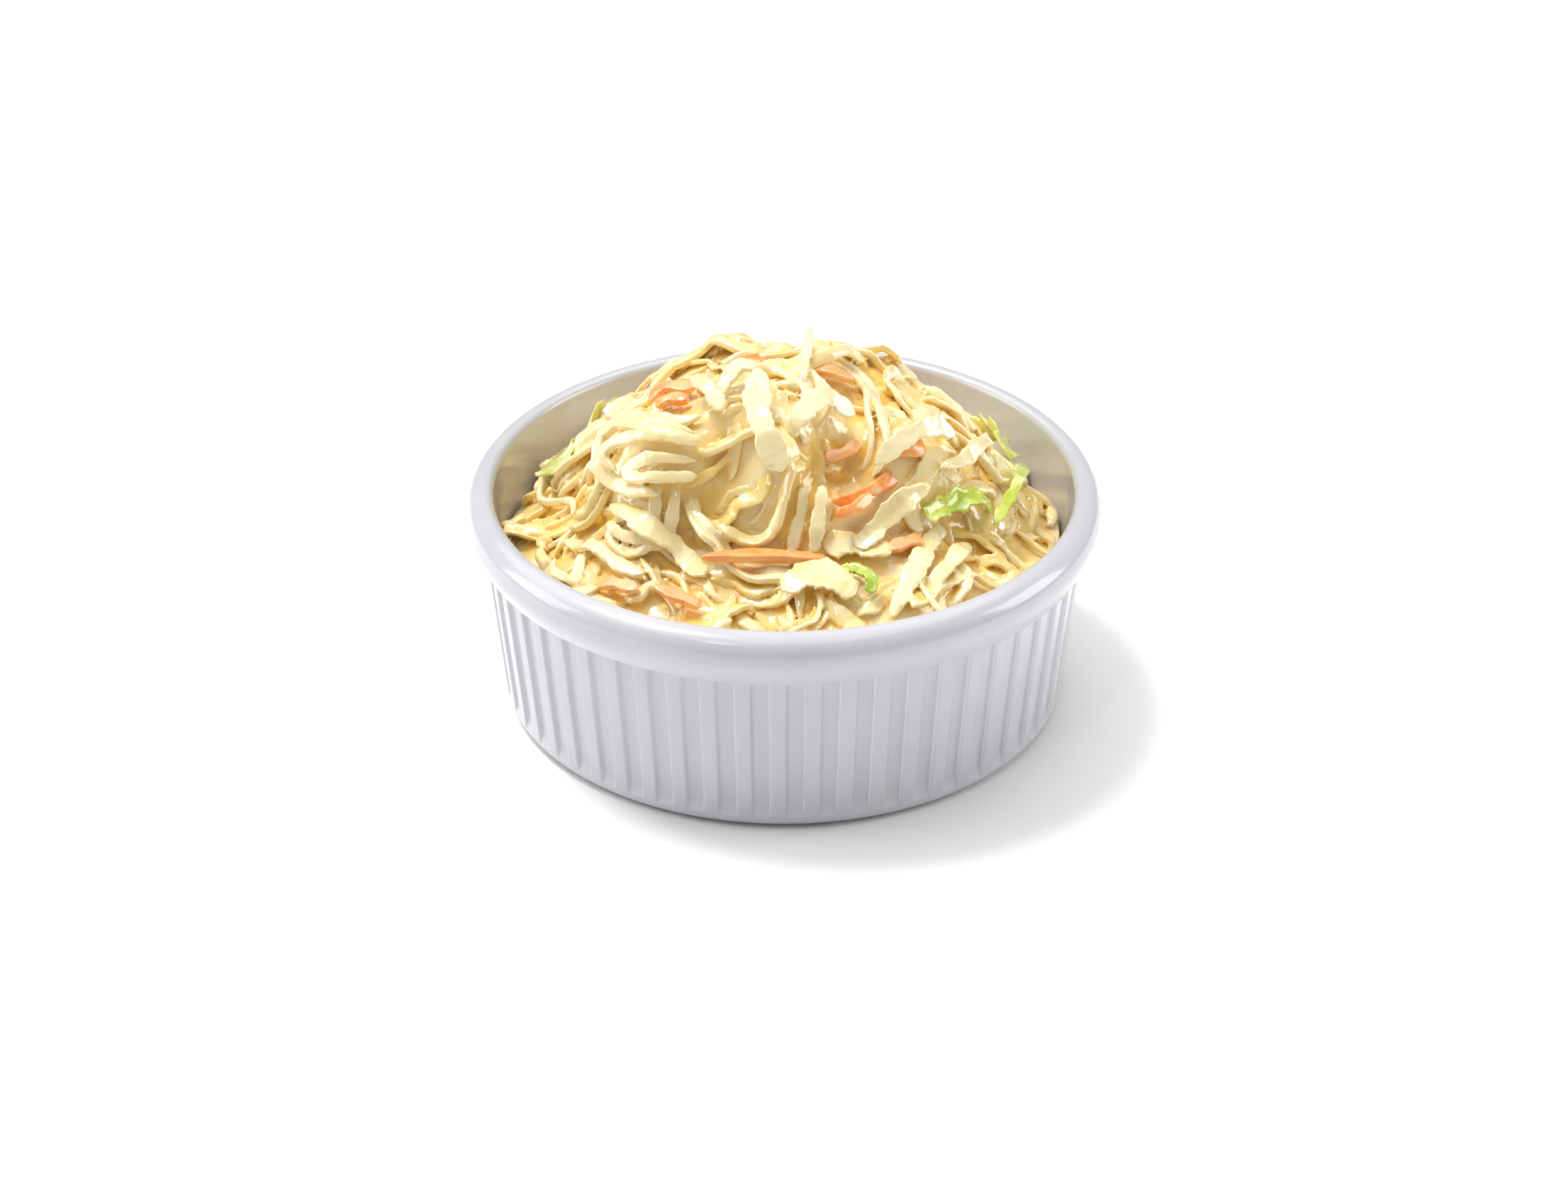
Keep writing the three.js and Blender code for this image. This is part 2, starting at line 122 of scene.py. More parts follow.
# Shreds of the photo that the last of the top shreds partly cover, in the order that they are laid. Each is
# its kind, width, thickness, tint, other looks, and the places x, y that it goes through with its lift there.
COVERED = [
    ("bed", 4.2, 1.5, 0.2, {"cup": 0.35},
     [(31, -24, 0.8), (28.3, -29.2, 1.2), (25.6, -37.4, 0.8), (20.6, -50, 0)]),
    ("bed", 3.6, 1.5, 0.25, {"cup": 0.35},
     [(36.6, -25.4, 0.5), (33.6, -31.4, 0.8), (30.4, -37.5, 0.8), (24.3, -48.6, 0)]),
    ("carrot", 3.0, 1.8, 0.0, STIFF,
     [(9.1, -28.2, 0.5), (13.5, -27.3, 1), (19.3, -23.6, 1), (23.9, -19, 0.5)]),
    ("carrot", 2.4, 1.8, 0.1, STIFF, [(9.5, -29.8, 0.5), (13.5, -28.2, 0.8), (17.6, -25.5, 0.5)]),
    ("carrot", 4.0, 1.6, 0.0, STIFF,
     [(19.5, -18.5, 0.8), (22.8, -17.7, 1.2), (25.5, -15.5, 0.8)]),
    ("carrot", 2.4, 1.6, 0.5, STIFF, [(8, -22, 0.6), (11.7, -20.8, 0.8), (15, -18, 0.5)]),
    ("carrot", 3.0, 1.6, 0.4, STIFF, [(20, -33.5, 0.6), (23.3, -31.5, 1), (26.5, -29.5, 0.6)]),
    ("carrot", 2.8, 1.6, 0.3, STIFF, [(-25, -42.5, 0.6), (-21.3, -44.4, 0.8), (-16, -46.5, 0.6)]),
    ("carrot", 2.8, 1.6, 0.5, STIFF, [(-36, -38, 0.6), (-32.5, -39.5, 0.8), (-28, -42.5, 0.6)]),
    ("carrot", 2.6, 1.6, 0.9, STIFF, [(-44.5, -4, 0.8), (-43.4, -1.3, 1), (-42, 2.5, 0.6)]),
    ("carrot", 4.2, 1.8, 0.0, {}, [(-12.7, -2.9, 1.0), (-7.7, -1.6, 1.3), (-3.6, 1.5, 1.0)]),
    ("carrot", 3.2, 1.8, 0.35, {}, [(-0.3, 4.4, 1.0), (4.7, 2.7, 1.3), (9.8, 3, 1.0)]),
    ("carrot", 3.0, 1.6, 0.45, {}, [(5, -3, 1.0), (9.5, -4, 1.3), (13.5, -3, 1.0)]),
    ("carrot", 2.6, 1.8, 0.1, {}, [(-23.8, -9.3, 0.8), (-20.9, -8.7, 1.0), (-18, -9.6, 0.8)]),
    ("carrot", 3.4, 1.6, 0.25, {}, [(-26.5, -3.5, 1.0), (-22, -3, 1.3), (-17.5, -4.5, 1.0)]),
]

# The same for those that stand out in the photo: loops, flakes, hanging shreds, carrot, leaf and the tip.
STANDING_OUT = [
    ("mound", 3.4, 1.9, 0.2, {}, [(-34.5, 4.6, 0), (-29.3, -7.7, 1), (-20.8, -15, 1), (-15, -16.1, 0)]),
    ("mound", 3.0, 2.2, 0.25, {},
     [(-15.8, -19.2, 1), (-22.4, -16.4, 2), (-30, -10.4, 2), (-33.4, -10.1, 1.5), (-32.4, -16.4, 1),
      (-28.9, -21.4, 0.5), (-22.2, -25.4, 0)]),
    ("mound", 2.5, 2.0, 0.35, {},
     [(-14.1, -21.3, 1), (-22.3, -18.4, 1.5), (-28.2, -15.9, 1), (-30.7, -16.5, 0.5), (-29, -19.5, 0)]),
    ("mound", 2.6, 2.0, 0.3, {},
     [(-15.7, -22.9, 0.5), (-22.3, -21.2, 1), (-27.3, -20.5, 0.5), (-23.9, -23.1, 0.5), (-15.7, -24.8, 0)]),
    ("mound", 5.4, 1.7, 0.15, {"cup": 0.3},
     [(-4.4, -11, 1.5), (-4.7, -18, 1.5), (-2.7, -22.5, 1), (-0.3, -25.9, 0)]),
    ("mound", 3.4, 1.5, 0.1, {}, [(-12.5, -15.4, 0), (-8.5, -10.5, 0.5), (-4.8, -10.9, 0.4)]),
    ("mound", 4.4, 1.8, 0.0, {"cup": 0.35},
     [(16.8, -22.5, 0), (21.9, -16.7, 1), (26.9, -12.4, 1.5), (31.3, -8.3, 1)]),
    ("mound", 3.3, 1.6, 0.3, {}, [(27.6, -18.6, 0), (33.7, -10.8, 1), (39.8, 7.2, 0)]),
    ("bed", 3.2, 1.6, 0.15, {},
     [(-44, -20.9, 0.5), (-37.9, -27.7, 1), (-31.9, -34.7, 1), (-26.9, -38.4, 0)]),
    ("bed", 7.6, 1.2, 0.45, {"ruffle": 0.2}, [(-0.5, -45.6, 0.2), (6.1, -42.3, 0.6), (13.7, -46.3, 0.2)]),
    ("bed", 5.4, 1.2, 0.5, {"ruffle": 0.2}, [(7.5, -33.5, 0.2), (13.8, -32.5, 0.6), (20.5, -35.5, 0.2)]),
    ("bed", 4.8, 1.2, 0.3, {"ruffle": 0.25},
     [(-32.1, -21.7, 0.4), (-23.7, -28.8, 0.8), (-15.3, -40.1, 0.2)]),
    ("mound", 4.6, 1.2, 0.3, {"cup": 0.4, "ruffle": 0.2},
     [(27, -21, 0), (20.7, -26.5, 0.8), (13.5, -33.5, 0.2)]),
    ("mound", 2.4, 1.3, 0.1, {}, [(3.8, -26.5, 0), (3.4, -29.6, 0.8), (2.0, -32.4, 1.2), (1.2, -36, 0.6)]),
    ("mound", 2.8, 1.3, 0.2, {},
     [(7.4, -26.5, 0), (6.6, -29.9, 0.8), (6.0, -32.3, 1.2), (5.7, -35.4, 0.6)]),
    ("mound", 3.4, 1.3, 0.15, {}, [(-16, -8, 0.0), (-14.5, -11, 0.5), (-10.5, -17.5, 0.2)]),
    ("mound", 4.6, 1.4, 0.05, {}, [(1.5, -20, 0), (4.5, -16.5, 1.0), (8.2, -14.2, 1.2), (13, -15.4, 0.3)]),
    ("carrot", 3.3, 2.0, 0.3, {"roll": -15, "stiff": True},
     [(-15.6, -38.4, 2.6), (-11.5, -37.9, 1.9), (-3.5, -36.8, 0.6), (3, -36.6, -0.3), (8.5, -36.1, -1.1)]),
    ("leaf", 4.4, 1.0, 0.7, {"cup": 0.5, "ruffle": 0.4},
     [(26.3, -25.5, 0.5), (30.5, -21.3, 1.5), (36.2, -16.3, 1.5), (41.7, -16.3, 0.5)]),
    ("leaf", 2.6, 1.0, 0.6, {}, [(41, -20.2, 0.5), (44.6, -8.4, 1.5), (49, 11.2, 1)]),
    ("leaf", 10.0, 0.9, 0.35, {"roll": -10, "cup": 0.2, "ruffle": 0.8},
     [(-44.5, -2, 1), (-42, 8, 1.5), (-38, 17, 2), (-31.5, 26, 2.5)]),
    ("leaf", 8.0, 0.9, 0.35, {"roll": -25, "cup": 0.2, "ruffle": 0.7},
     [(39, 33, 2.5), (43, 23.5, 2), (46, 12, 1)]),
    ("leaf", 2.4, 1.0, 0.9, {"cup": 0.5},
     [(10.6, -39.2, 1), (13.8, -40.4, 1.5), (16.4, -43.1, 1), (16.5, -46, 0)]),
    ("mound", 2.2, 1.3, 0.0, {}, [(3.4, -10.9, 0.2), (3.9, -5, 1.0), (4.4, 0.5, 2.7), (4.4, 3, 3.9)]),
]

# The pile that the shreds are laid on.
CORE_SINK = 12.0  # the depth under the heap's surface that the first shreds lie at
CORE_WALL_RISE = 8.5  # how much less that is by the wall
CORE_RISE_FROM, CORE_RISE_TO = 32, 54  # the radii that it gets less between
CORE_LUMPS = 0.5
GRID_STEP = 0.5
GRID_HALF = 62

# How shreds are laid.
WAY_STEPS = 24
SECTION_POINTS = 12
WALL_GAP = 1.5  # from the mouth's radius to a shred
WIDTH_KEPT = 0.4  # the share of its width that a shred keeps from the wall too
END_DIP = 1.5  # how far a loose shred's ends dip into what lies under them
END_WIDTH, END_THICKNESS = 0.1, 0.35  # a shred's ends as shares of its middle
BRIDGE_RADIUS = 8  # the tightest bend that a shred takes into a hollow
RAISED = np.linspace(-1.3, 1.3, 7)  # where a shred raises the pile across itself, in thirds of its width
MARKED_SINK = 0.3  # how far a marked shred is pressed into the pile
PLACES_TRIED = 18
START_SHARE, CURL_SHARE = 0.45, 0.8  # how far back a shred starts from its middle, and what its curl leaves
SPREAD_RADIUS = 56
DRAWN_FOR_EACH = 40  # places drawn for each one that is chosen
FRONT_Y, FRONT_RADIUS = -8, 50
OPEN_X, OPEN_Y, OPEN_RADIUS = 16.5, -24.5, 9  # the spot at the front that is left open for carrot
DROP_SIZE = (1.4, 2.4)
LEAFY = {"cup": 0.35, "ruffle": 0.35, "bundle": 2}  # how the top shreds lie
FIRST_SHARE, LAST_SHARE = 0.65, 0.35  # of the top shreds

# How they are fused, and the dressing between them.
UNDER_VOXEL, OVER_VOXEL = ((0.5, 0.36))
UNDER_FACES, OVER_FACES = 150000, 195000
SMOOTH_ROUNDS = 2  # rounds of smoothing that take the voxel steps away
CORE_DEPTH = 22  # from the rim down to the core's flat underside
CORE_RINGS, CORE_SPOKES = ((64, 260))
SHEET_RINGS, SHEET_SPOKES = ((60, 260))
SHEET_THICKNESS = 2.2
SHEET_START = 0.05  # the inner radius of the mound's sheet
SHEET_OVERLAP = 0.94  # where the bed's sheet starts, as a share of the mound's outline
DRESSING_REACH = MOUTH_RADIUS - 1.6
DRESSING_SINK = 1.0  # how far the dressing stands under the smoothed top of the lower shreds
GAP_DEPTH = 1.9  # and on average under the smoothed top of the upper ones
GAP_CHANGE = 0.5  # how much that depth changes from place to place

# How the gaps between shreds are marked for a painted warm shade in the colour.
WHOLE_DEPTH = 3.5  # the depth under the smoothed pile that counts in full
CREASE_START, CREASE_SPAN = 0.06, 0.2  # a crease counts from hollowness -start, and fully one span on
DEPTH_SHARE, CREASE_SHARE = 0.45, 0.7
HOLLOW_ROUNDS = 5  # rounds that spread a point's hollowness to its neighbours

# The camera, found from the rim's and the foot's ellipses in the photo.
CAMERA_PLACE = (0, -606.0, 374.3)
CAMERA_AIM = (0, 0, 20.7)
CAMERA_LENS = 77.7
CAMERA_SENSOR = 36


# Shapes

def arc(radius, centre_r, centre_z, start, end, count):
    """Points of a round corner: centre + radius (cos a, sin a), with a in degrees from start to end."""
    a = np.radians(np.linspace(start, end, count))
    return np.stack([centre_r + radius * np.cos(a), centre_z + radius * np.sin(a)], 1)


def smoothstep(low, high, value):
    """0 below low and 1 above high, with 3t^2 - 2t^3 between them."""
    t = np.clip((value - low) / (high - low), 0, 1)
    return t * t * (3 - 2 * t)


def grid_faces(rows, columns, wrap):
    """Quads between the rows of a grid of points, and from the last column to the first where it wraps."""
    r = np.arange(rows - 1)[:, None]
    c = np.arange(columns if wrap else columns - 1)[None, :]
    a = r * columns + c
    b = r * columns + (c + 1) % columns
    return np.stack([a, b, b + columns, a + columns], -1).reshape(-1, 4)


def fan(middle, start, count, back=False):
    """Triangles from a middle point to a ring of points that begins at an index, turned over with back."""
    first = np.arange(count)
    after = (first + 1) % count
    if back:
        first, after = after, first
    return np.stack([np.full(count, middle), start + first, start + after], 1)


def make_mesh(name, points, quads, triangles=None, values=None):
    """A mesh object from points in millimetres, quads, triangles and a dictionary of values at the points."""
    mesh = bpy.data.meshes.new(name)
    corners = [np.asarray(quads).ravel()]
    starts = [np.arange(len(quads)) * 4]
    if triangles is not None:
        corners.append(np.asarray(triangles).ravel())
        starts.append(len(quads) * 4 + np.arange(len(triangles)) * 3)
    corners = np.concatenate(corners).astype(np.int32)
    starts = np.concatenate(starts).astype(np.int32)
    mesh.vertices.add(len(points))
    mesh.vertices.foreach_set("co", (np.asarray(points, dtype=np.float32) * MM).ravel())
    mesh.loops.add(len(corners))
    mesh.loops.foreach_set("vertex_index", corners)
    mesh.polygons.add(len(starts))
    mesh.polygons.foreach_set("loop_start", starts)
    mesh.update(calc_edges=True)
    for key, numbers in (values or {}).items():
        layer = mesh.attributes.new(key, "FLOAT", "POINT")
        layer.data.foreach_set("value", np.asarray(numbers, dtype=np.float32))
    mesh.shade_smooth()
    mesh.validate()
    piece = bpy.data.objects.new(name, mesh)
    bpy.context.scene.collection.objects.link(piece)
    return piece


def finish_piece(piece, material, node):
    """Gives a piece its material and its place on the body, and hides the imported part it stands for."""
    piece.data.materials.clear()
    piece.data.materials.append(material)
    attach(piece, "root")
    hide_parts(node)


# The dish

def dish_section():
    """The dish's section from the middle of its underside, up the outside, over the rim and down to its
    floor. Its band bulges by the sine of its height to a power."""
    rim_r, rim_z = RIM_RADIUS - RIM_ROUND, DISH_HEIGHT - RIM_ROUND
    band = np.linspace((0, 0), (1, 1), 9)[1:-1]
    bulge = np.sin(band[:, 0] * np.pi / 2) ** BAND_POWER
    belly_r = LEDGE_RADIUS + LEDGE_ROUND + (RIM_RADIUS - LEDGE_RADIUS - LEDGE_ROUND) * bulge
    belly_z = LEDGE_Z + LEDGE_ROUND + (rim_z - LEDGE_Z - LEDGE_ROUND) * band[:, 1]
    return np.concatenate([
        np.linspace((0, FOOT_RECESS), (FOOT_RING_INNER - FOOT_RECESS, FOOT_RECESS), 3),
        arc(FOOT_RECESS / 2, FOOT_RING_INNER, FOOT_RECESS / 2, 180, 270, 4),
        arc(FOOT_ROUND, WALL_FOOT_RADIUS - FOOT_ROUND, FOOT_ROUND, -90, -8, 6),
        np.linspace((WALL_FOOT_RADIUS, FOOT_ROUND), (WALL_TOP_RADIUS, LEDGE_Z - LEDGE_FILLET), 16),
        arc(LEDGE_FILLET, WALL_TOP_RADIUS + LEDGE_FILLET, LEDGE_Z - LEDGE_FILLET, 160, 90, 4),
        arc(LEDGE_ROUND, LEDGE_RADIUS, LEDGE_Z + LEDGE_ROUND, -90, -20, 4),
        np.stack([belly_r, belly_z], 1),
        arc(RIM_ROUND, rim_r, rim_z, 0, 90, 10),
        arc(MOUTH_ROUND, MOUTH_RADIUS + MOUTH_ROUND, DISH_HEIGHT - MOUTH_ROUND, 90, 176, 7)[1:],
        np.linspace((MOUTH_RADIUS, DISH_HEIGHT - MOUTH_ROUND),
                    (HOLLOW_FOOT_RADIUS, FLOOR_Z + FLOOR_ROUND), 6),
        arc(FLOOR_ROUND, HOLLOW_FOOT_RADIUS - FLOOR_ROUND, FLOOR_Z + FLOOR_ROUND, -15, -90, 5),
        [(0, FLOOR_Z)],
    ])


def flute_depth(angle, r, z):
    """How far a flute cuts in: a soft-edged square wave round the wall's outside, run out at its foot."""
    share = ((angle - np.radians(RIB_TURN)) * RIB_COUNT / TURN + 0.5) % 1 - 0.5
    wave = 1 - smoothstep(FLUTE_SHARE / 2 - FLUTE_EDGE, FLUTE_SHARE / 2 + FLUTE_EDGE, np.abs(share))
    wall_r = np.interp(z, [FOOT_ROUND, LEDGE_Z], [WALL_FOOT_RADIUS, WALL_TOP_RADIUS])
    outside = (z < FLUTE_TOP_Z) & (r > wall_r - FLUTE_REACH)
    rise = smoothstep(FLUTE_FOOT_Z, FLUTE_FOOT_Z + FLUTE_FADE, z)
    return FLUTE_DEPTH * wave * rise * outside


def make_dish():
    """The section turned round the axis: (r cos a, r sin a, z), with r less the flute's depth there. It
    stores a painted highlight on the ribs' edges: 1 where a flute has its edge depth, falling to 0 on
    either side."""
    section = dish_section()
    angle = np.arange(RIB_COUNT * RIB_SAMPLES) * TURN / (RIB_COUNT * RIB_SAMPLES)
    r, z = section[1:-1, 0][:, None], section[1:-1, 1][:, None]
    depth = flute_depth(angle[None, :], r, z)
    # painted highlight: a mask that pales the colour along the ribs' edges
    edge = np.clip(1 - np.abs(depth / FLUTE_DEPTH - HIGHLIGHT_DEPTH) / HIGHLIGHT_DEPTH, 0, 1)
    r = r - depth
    ring = np.stack([r * np.cos(angle), r * np.sin(angle), z + 0 * r], -1)
    rows, columns = r.shape
    points = np.concatenate([ring.reshape(-1, 3), [[0, 0, section[0, 1]]], [[0, 0, section[-1, 1]]]])
    under = fan(rows * columns, 0, columns, back=True)
    floor = fan(rows * columns + 1, (rows - 1) * columns, columns)
    edges = np.concatenate([edge.ravel(), [0, 0]])
    return make_mesh("glazed_dish", points, grid_faces(rows, columns, True), np.concatenate([under, floor]),
                     {"edge": edges})


# The heap and its shreds

def heap_top(x, y):
    """The heap's height: a cubic bed that falls to the wall, and a rounded superellipse mound on it."""
    rho = np.minimum(np.hypot(x, y), BED_RADIUS)
    drop = BED_WALL_DROP + BED_BACK_DROP * np.clip(y / BED_RADIUS, -1, 1)
    bed = BED_RISE - (drop + BED_RISE) * (rho / BED_RADIUS) ** 3
    across = np.abs((x - MOUND_X) / MOUND_HALF_X) ** MOUND_POWER
    along = np.abs((y - MOUND_Y) / MOUND_HALF_Y) ** MOUND_POWER
    inward = 1 - across - along
    softly = (inward + np.hypot(inward, 2 * MOUND_FOOT)) / 2
    return DISH_HEIGHT + bed + MOUND_HEIGHT * softly ** MOUND_SHOULDER


def heap_normal(x, y):
    """The heap's outward direction, from differences of its height over 3 mm."""
    e = 1.5
    slope_x = (heap_top(x - e, y) - heap_top(x + e, y)) / (2 * e)
    slope_y = (heap_top(x, y - e) - heap_top(x, y + e)) / (2 * e)
    normal = np.stack([slope_x, slope_y, np.ones_like(slope_x)], -1)
    return normal / np.linalg.norm(normal, axis=-1, keepdims=True)


def over_heap(x, y, height):
    """Points at a height over the heap's surface, measured straight out from it."""
    return np.stack([x, y, heap_top(x, y)], -1) + heap_normal(x, y) * height[..., None]


def core_height(x, y):
    """The first pile's height over the heap's surface: below it, less so by the wall, with lumps from
    crossing waves."""
    lumps = np.sin(x / 2.9 + 1.3 * np.sin(y / 4.1)) + np.sin(y / 3.3 + 1.1 * np.sin(x / 3.7))
    wallwards = smoothstep(CORE_RISE_FROM, CORE_RISE_TO, np.hypot(x, y))
    return CORE_LUMPS * lumps - CORE_SINK + CORE_WALL_RISE * wallwards


GRID_SIDE = int(2 * GRID_HALF / GRID_STEP) + 1
GRID_LINE = np.arange(GRID_SIDE) * GRID_STEP - GRID_HALF
clumps = np.zeros((GRID_SIDE, GRID_SIDE))
for clump_x, clump_y, half_x, half_y, rise in CLUMPS:
    off_x = (GRID_LINE[None, :] - clump_x) / half_x
    off_y = (GRID_LINE[:, None] - clump_y) / half_y
    clumps += rise * np.exp(-(off_x ** 2 + off_y ** 2))
pile = core_height(GRID_LINE[None, :], GRID_LINE[:, None]) + clumps


def cell(x, y):
    """The grid cell over a point, as an index into the flattened pile."""
    column = np.clip(np.rint((x + GRID_HALF) / GRID_STEP), 0, GRID_SIDE - 1).astype(int)
    row = np.clip(np.rint((y + GRID_HALF) / GRID_STEP), 0, GRID_SIDE - 1).astype(int)
    return row * GRID_SIDE + column


def wander(x, y, heading, length, turn, sway, waves, phase):
    """Ways seen from above, one for each start: the heading turns evenly along a shred and sways about that
    as a sine, and each step is shortened by the heap's slope so that the shred keeps its length."""
    step = length / (WAY_STEPS - 1)
    ways = [np.stack([x, y], -1)]
    for i in range(WAY_STEPS - 1):
        share = (i + 0.5) / (WAY_STEPS - 1)
        angle = np.radians(heading + turn * share + sway * np.sin(TURN * (waves * share + phase)))
        px, py = ways[-1][..., 0], ways[-1][..., 1]
        dx, dy = np.cos(angle), np.sin(angle)
        slope = heap_top(px + dx, py + dy) - heap_top(px, py)
        run = step / np.hypot(1, slope)
        ways.append(np.stack([px + run * dx, py + run * dy], -1))
    return np.stack(ways, -2)


def bridged(way, under):
    """A shred's heights along its way: on the bumps and over the hollows. A parabola over each point and
    then one under each point close the hollows that it is too stiff to bend into."""
    away = np.hypot(*(way[:, None, :] - way[None, :, :]).transpose(2, 0, 1))
    fall = away ** 2 / (2 * BRIDGE_RADIUS)
    over = np.max(under[None, :] - fall, axis=1)
    return np.min(over[None, :] + fall, axis=1)


def side_steps(way, width):
    """The sideways step, seen from above, from the middle of a way to a third of the shred's width: shorter
    where the heap slopes that way."""
    along = np.gradient(way, axis=-2)
    side = np.stack([-along[..., 1], along[..., 0]], -1)
    side /= np.linalg.norm(side, axis=-1, keepdims=True)
    slope = heap_top(*np.moveaxis(way + side, -1, 0)) - heap_top(*np.moveaxis(way - side, -1, 0))
    return side * width / 3 / np.hypot(1, slope / 2)[..., None]


def lowest_way(ways, width):
    """Of the tried ways, the one that lies lowest on the pile, with the clumps left out of account."""
    spots = np.stack([ways - side_steps(ways, width), ways, ways + side_steps(ways, width)])
    under = (pile - clumps).ravel()[cell(spots[..., 0], spots[..., 1])].max(axis=0)
    return ways[int(np.argmin(under.mean(axis=-1)))]


def lay_down(way, width, thickness, sink):
    """Lays one shred on the pile, raises the pile by it, and gives its height along its way."""
    side = side_steps(way, width)
    spots = np.stack([way - side, way, way + side])
    flat = pile.ravel()
    under = flat[cell(spots[..., 0], spots[..., 1])].max(axis=0)
    height = bridged(way, under) + thickness / 2 - sink
    share = np.linspace(0, WAY_STEPS - 1, 4 * WAY_STEPS)
    whole = np.arange(WAY_STEPS)
    x, y, top = (np.interp(share, whole, v) for v in (way[:, 0], way[:, 1], height + thickness / 2))
    sx, sy = (np.interp(share, whole, v) for v in (side[:, 0], side[:, 1]))
    for across in RAISED:
        np.maximum.at(flat, cell(x + across * sx, y + across * sy), top)
    return height


def carry_strips(name, centre, width, thickness, roll, twist, cup, ruffle, tint, squareness, ragged):
    """Strips carried along their middle lines, all at once. The section is a superellipse
    (w/2 c^e, t/2 s^e), boxy where e is small, cupped by a parabola and ruffled by a sine, narrow and thin at
    both ends. It turns about the line by the roll, and by the twist from end to end, off the heap's outward
    direction."""
    count, steps, _ = centre.shape
    along = np.gradient(centre, axis=1)
    along /= np.linalg.norm(along, axis=-1, keepdims=True)
    outward = heap_normal(centre[..., 0], centre[..., 1])
    side = np.cross(outward, along)
    side /= np.linalg.norm(side, axis=-1, keepdims=True)
    up = np.cross(along, side)
    share = np.linspace(0, 1, steps)[None, :]
    angle = np.radians(roll[:, None] + twist[:, None] * (share - 0.5))[..., None]
    side, up = side * np.cos(angle) + up * np.sin(angle), up * np.cos(angle) - side * np.sin(angle)
    endwards = np.abs(2 * share - 1)
    bluntness = 2.5 + 6 * ((13.7 * tint[:, None] + 0.5 * (share > 0.5)) % 1)
    narrow = (1 - endwards ** bluntness) ** 0.6 * (1 - END_WIDTH) + END_WIDTH
    wave = TURN * (share + 7 * tint[:, None])
    uneven = 1 + 0.14 * np.sin(1.7 * wave) + ragged * np.sin(4.3 * wave) * np.sin(9.1 * wave + 2)
    half_w = width[:, None] / 2 * narrow * uneven
    half_t = thickness[:, None] / 2 * (END_THICKNESS + (1 - END_THICKNESS) * narrow)
    theta = np.arange(SECTION_POINTS) * TURN / SECTION_POINTS
    c, s = np.cos(theta), np.sin(theta)
    sx = np.sign(c) * np.abs(c) ** squareness
    sy = np.sign(s) * np.abs(s) ** squareness
    across = half_w[..., None] * sx
    rise = half_t[..., None] * sy
    rise = rise + cup[:, None, None] * (sx ** 2 - 0.5) * half_w[..., None]
    rise = rise + ruffle[:, None, None] * np.sin(2.5 * wave)[..., None] * np.sign(sx) * sx ** 2
    sideways = across[..., None] * side[:, :, None, :]
    upwards = rise[..., None] * up[:, :, None, :]
    ring = centre[:, :, None, :] + sideways + upwards
    rings = ring.reshape(count, steps * SECTION_POINTS, 3)
    points = np.concatenate([rings, centre[:, :1], centre[:, -1:]], axis=1)
    quads = grid_faces(steps, SECTION_POINTS, True)
    size = points.shape[1]
    start_cap = fan(size - 2, 0, SECTION_POINTS, back=True)
    end_cap = fan(size - 1, (steps - 1) * SECTION_POINTS, SECTION_POINTS)
    shift = (np.arange(count) * size)[:, None, None]
    quads = (quads[None] + shift).reshape(-1, 4)
    caps = (np.concatenate([start_cap, end_cap])[None] + shift).reshape(-1, 3)
    return make_mesh(name, points.reshape(-1, 3), quads, caps, {"tint": np.repeat(tint, size)})


class Batch:
    """Shreds of one kind: their middle lines and section values, gathered as they are laid."""

    def __init__(self, name, squareness=0.6, ragged=0.18):
        self.name = name
        self.squareness = squareness
        self.ragged = ragged
        self.lines = []
        self.rows = []

    def add(self, line_points, **row):
        self.lines.append(line_points)
        self.rows.append(row)

    def build(self):
        keys = ("width", "thickness", "roll", "twist", "cup", "ruffle", "tint")
        columns = {key: np.array([row[key] for row in self.rows], dtype=float) for key in keys}
        return carry_strips(self.name, np.stack(self.lines), squareness=self.squareness, ragged=self.ragged,
                            **columns)


def between(low, high, size=None):
    """Numbers drawn evenly between two limits."""
    return draw.uniform(low, high, size)


def within_dish(ways, width):
    """Ways pulled in to the wall where they would pass it."""
    limit = MOUTH_RADIUS - WALL_GAP - WIDTH_KEPT * width.reshape(-1, *[1] * (ways.ndim - 2))
    reach = np.hypot(ways[..., 0], ways[..., 1])
    return ways * np.minimum(1, limit / np.maximum(reach, 1e-6))[..., None]


def loose_ways(count, inside, length, width, turn, sway):
    """For each shred, tried ways that start and end within the dish, with middles drawn in a region."""
    tried = []
    for _ in range(PLACES_TRIED):
        heading = between(0, 360, count)
        x, y = inside(count)
        back = np.radians(heading + turn / 2)
        x = x - START_SHARE * length * np.cos(back) * CURL_SHARE
        y = y - START_SHARE * length * np.sin(back) * CURL_SHARE
        waves, phase = between(0.6, 1.6, count), between(0, 1, count)
        tried.append(wander(x, y, heading, length, turn, sway, waves, phase))
    return within_dish(np.stack(tried, 1), width)


def on_heap(count):
    """Places spread evenly over the heap's real surface, which is steep on the mound's flanks."""
    rho = SPREAD_RADIUS * np.sqrt(between(0.01, 1, DRAWN_FOR_EACH * count))
    angle = between(0, TURN, DRAWN_FOR_EACH * count)
    x, y = rho * np.cos(angle), rho * np.sin(angle)
    steep = 1 / heap_normal(x, y)[:, 2]
    chosen = draw.choice(len(x), count, replace=False, p=steep / steep.sum())
    return x[chosen], y[chosen]


def on_mound(count):
    """The same, on the mound alone, to just past its outline."""
    x, y = on_heap(4 * count)
    across = np.abs((x - MOUND_X) / MOUND_HALF_X) ** 2 + np.abs((y - MOUND_Y) / MOUND_HALF_Y) ** 2
    nearest = np.argsort(across > 1.05, kind="stable")[:count]
    return x[nearest], y[nearest]


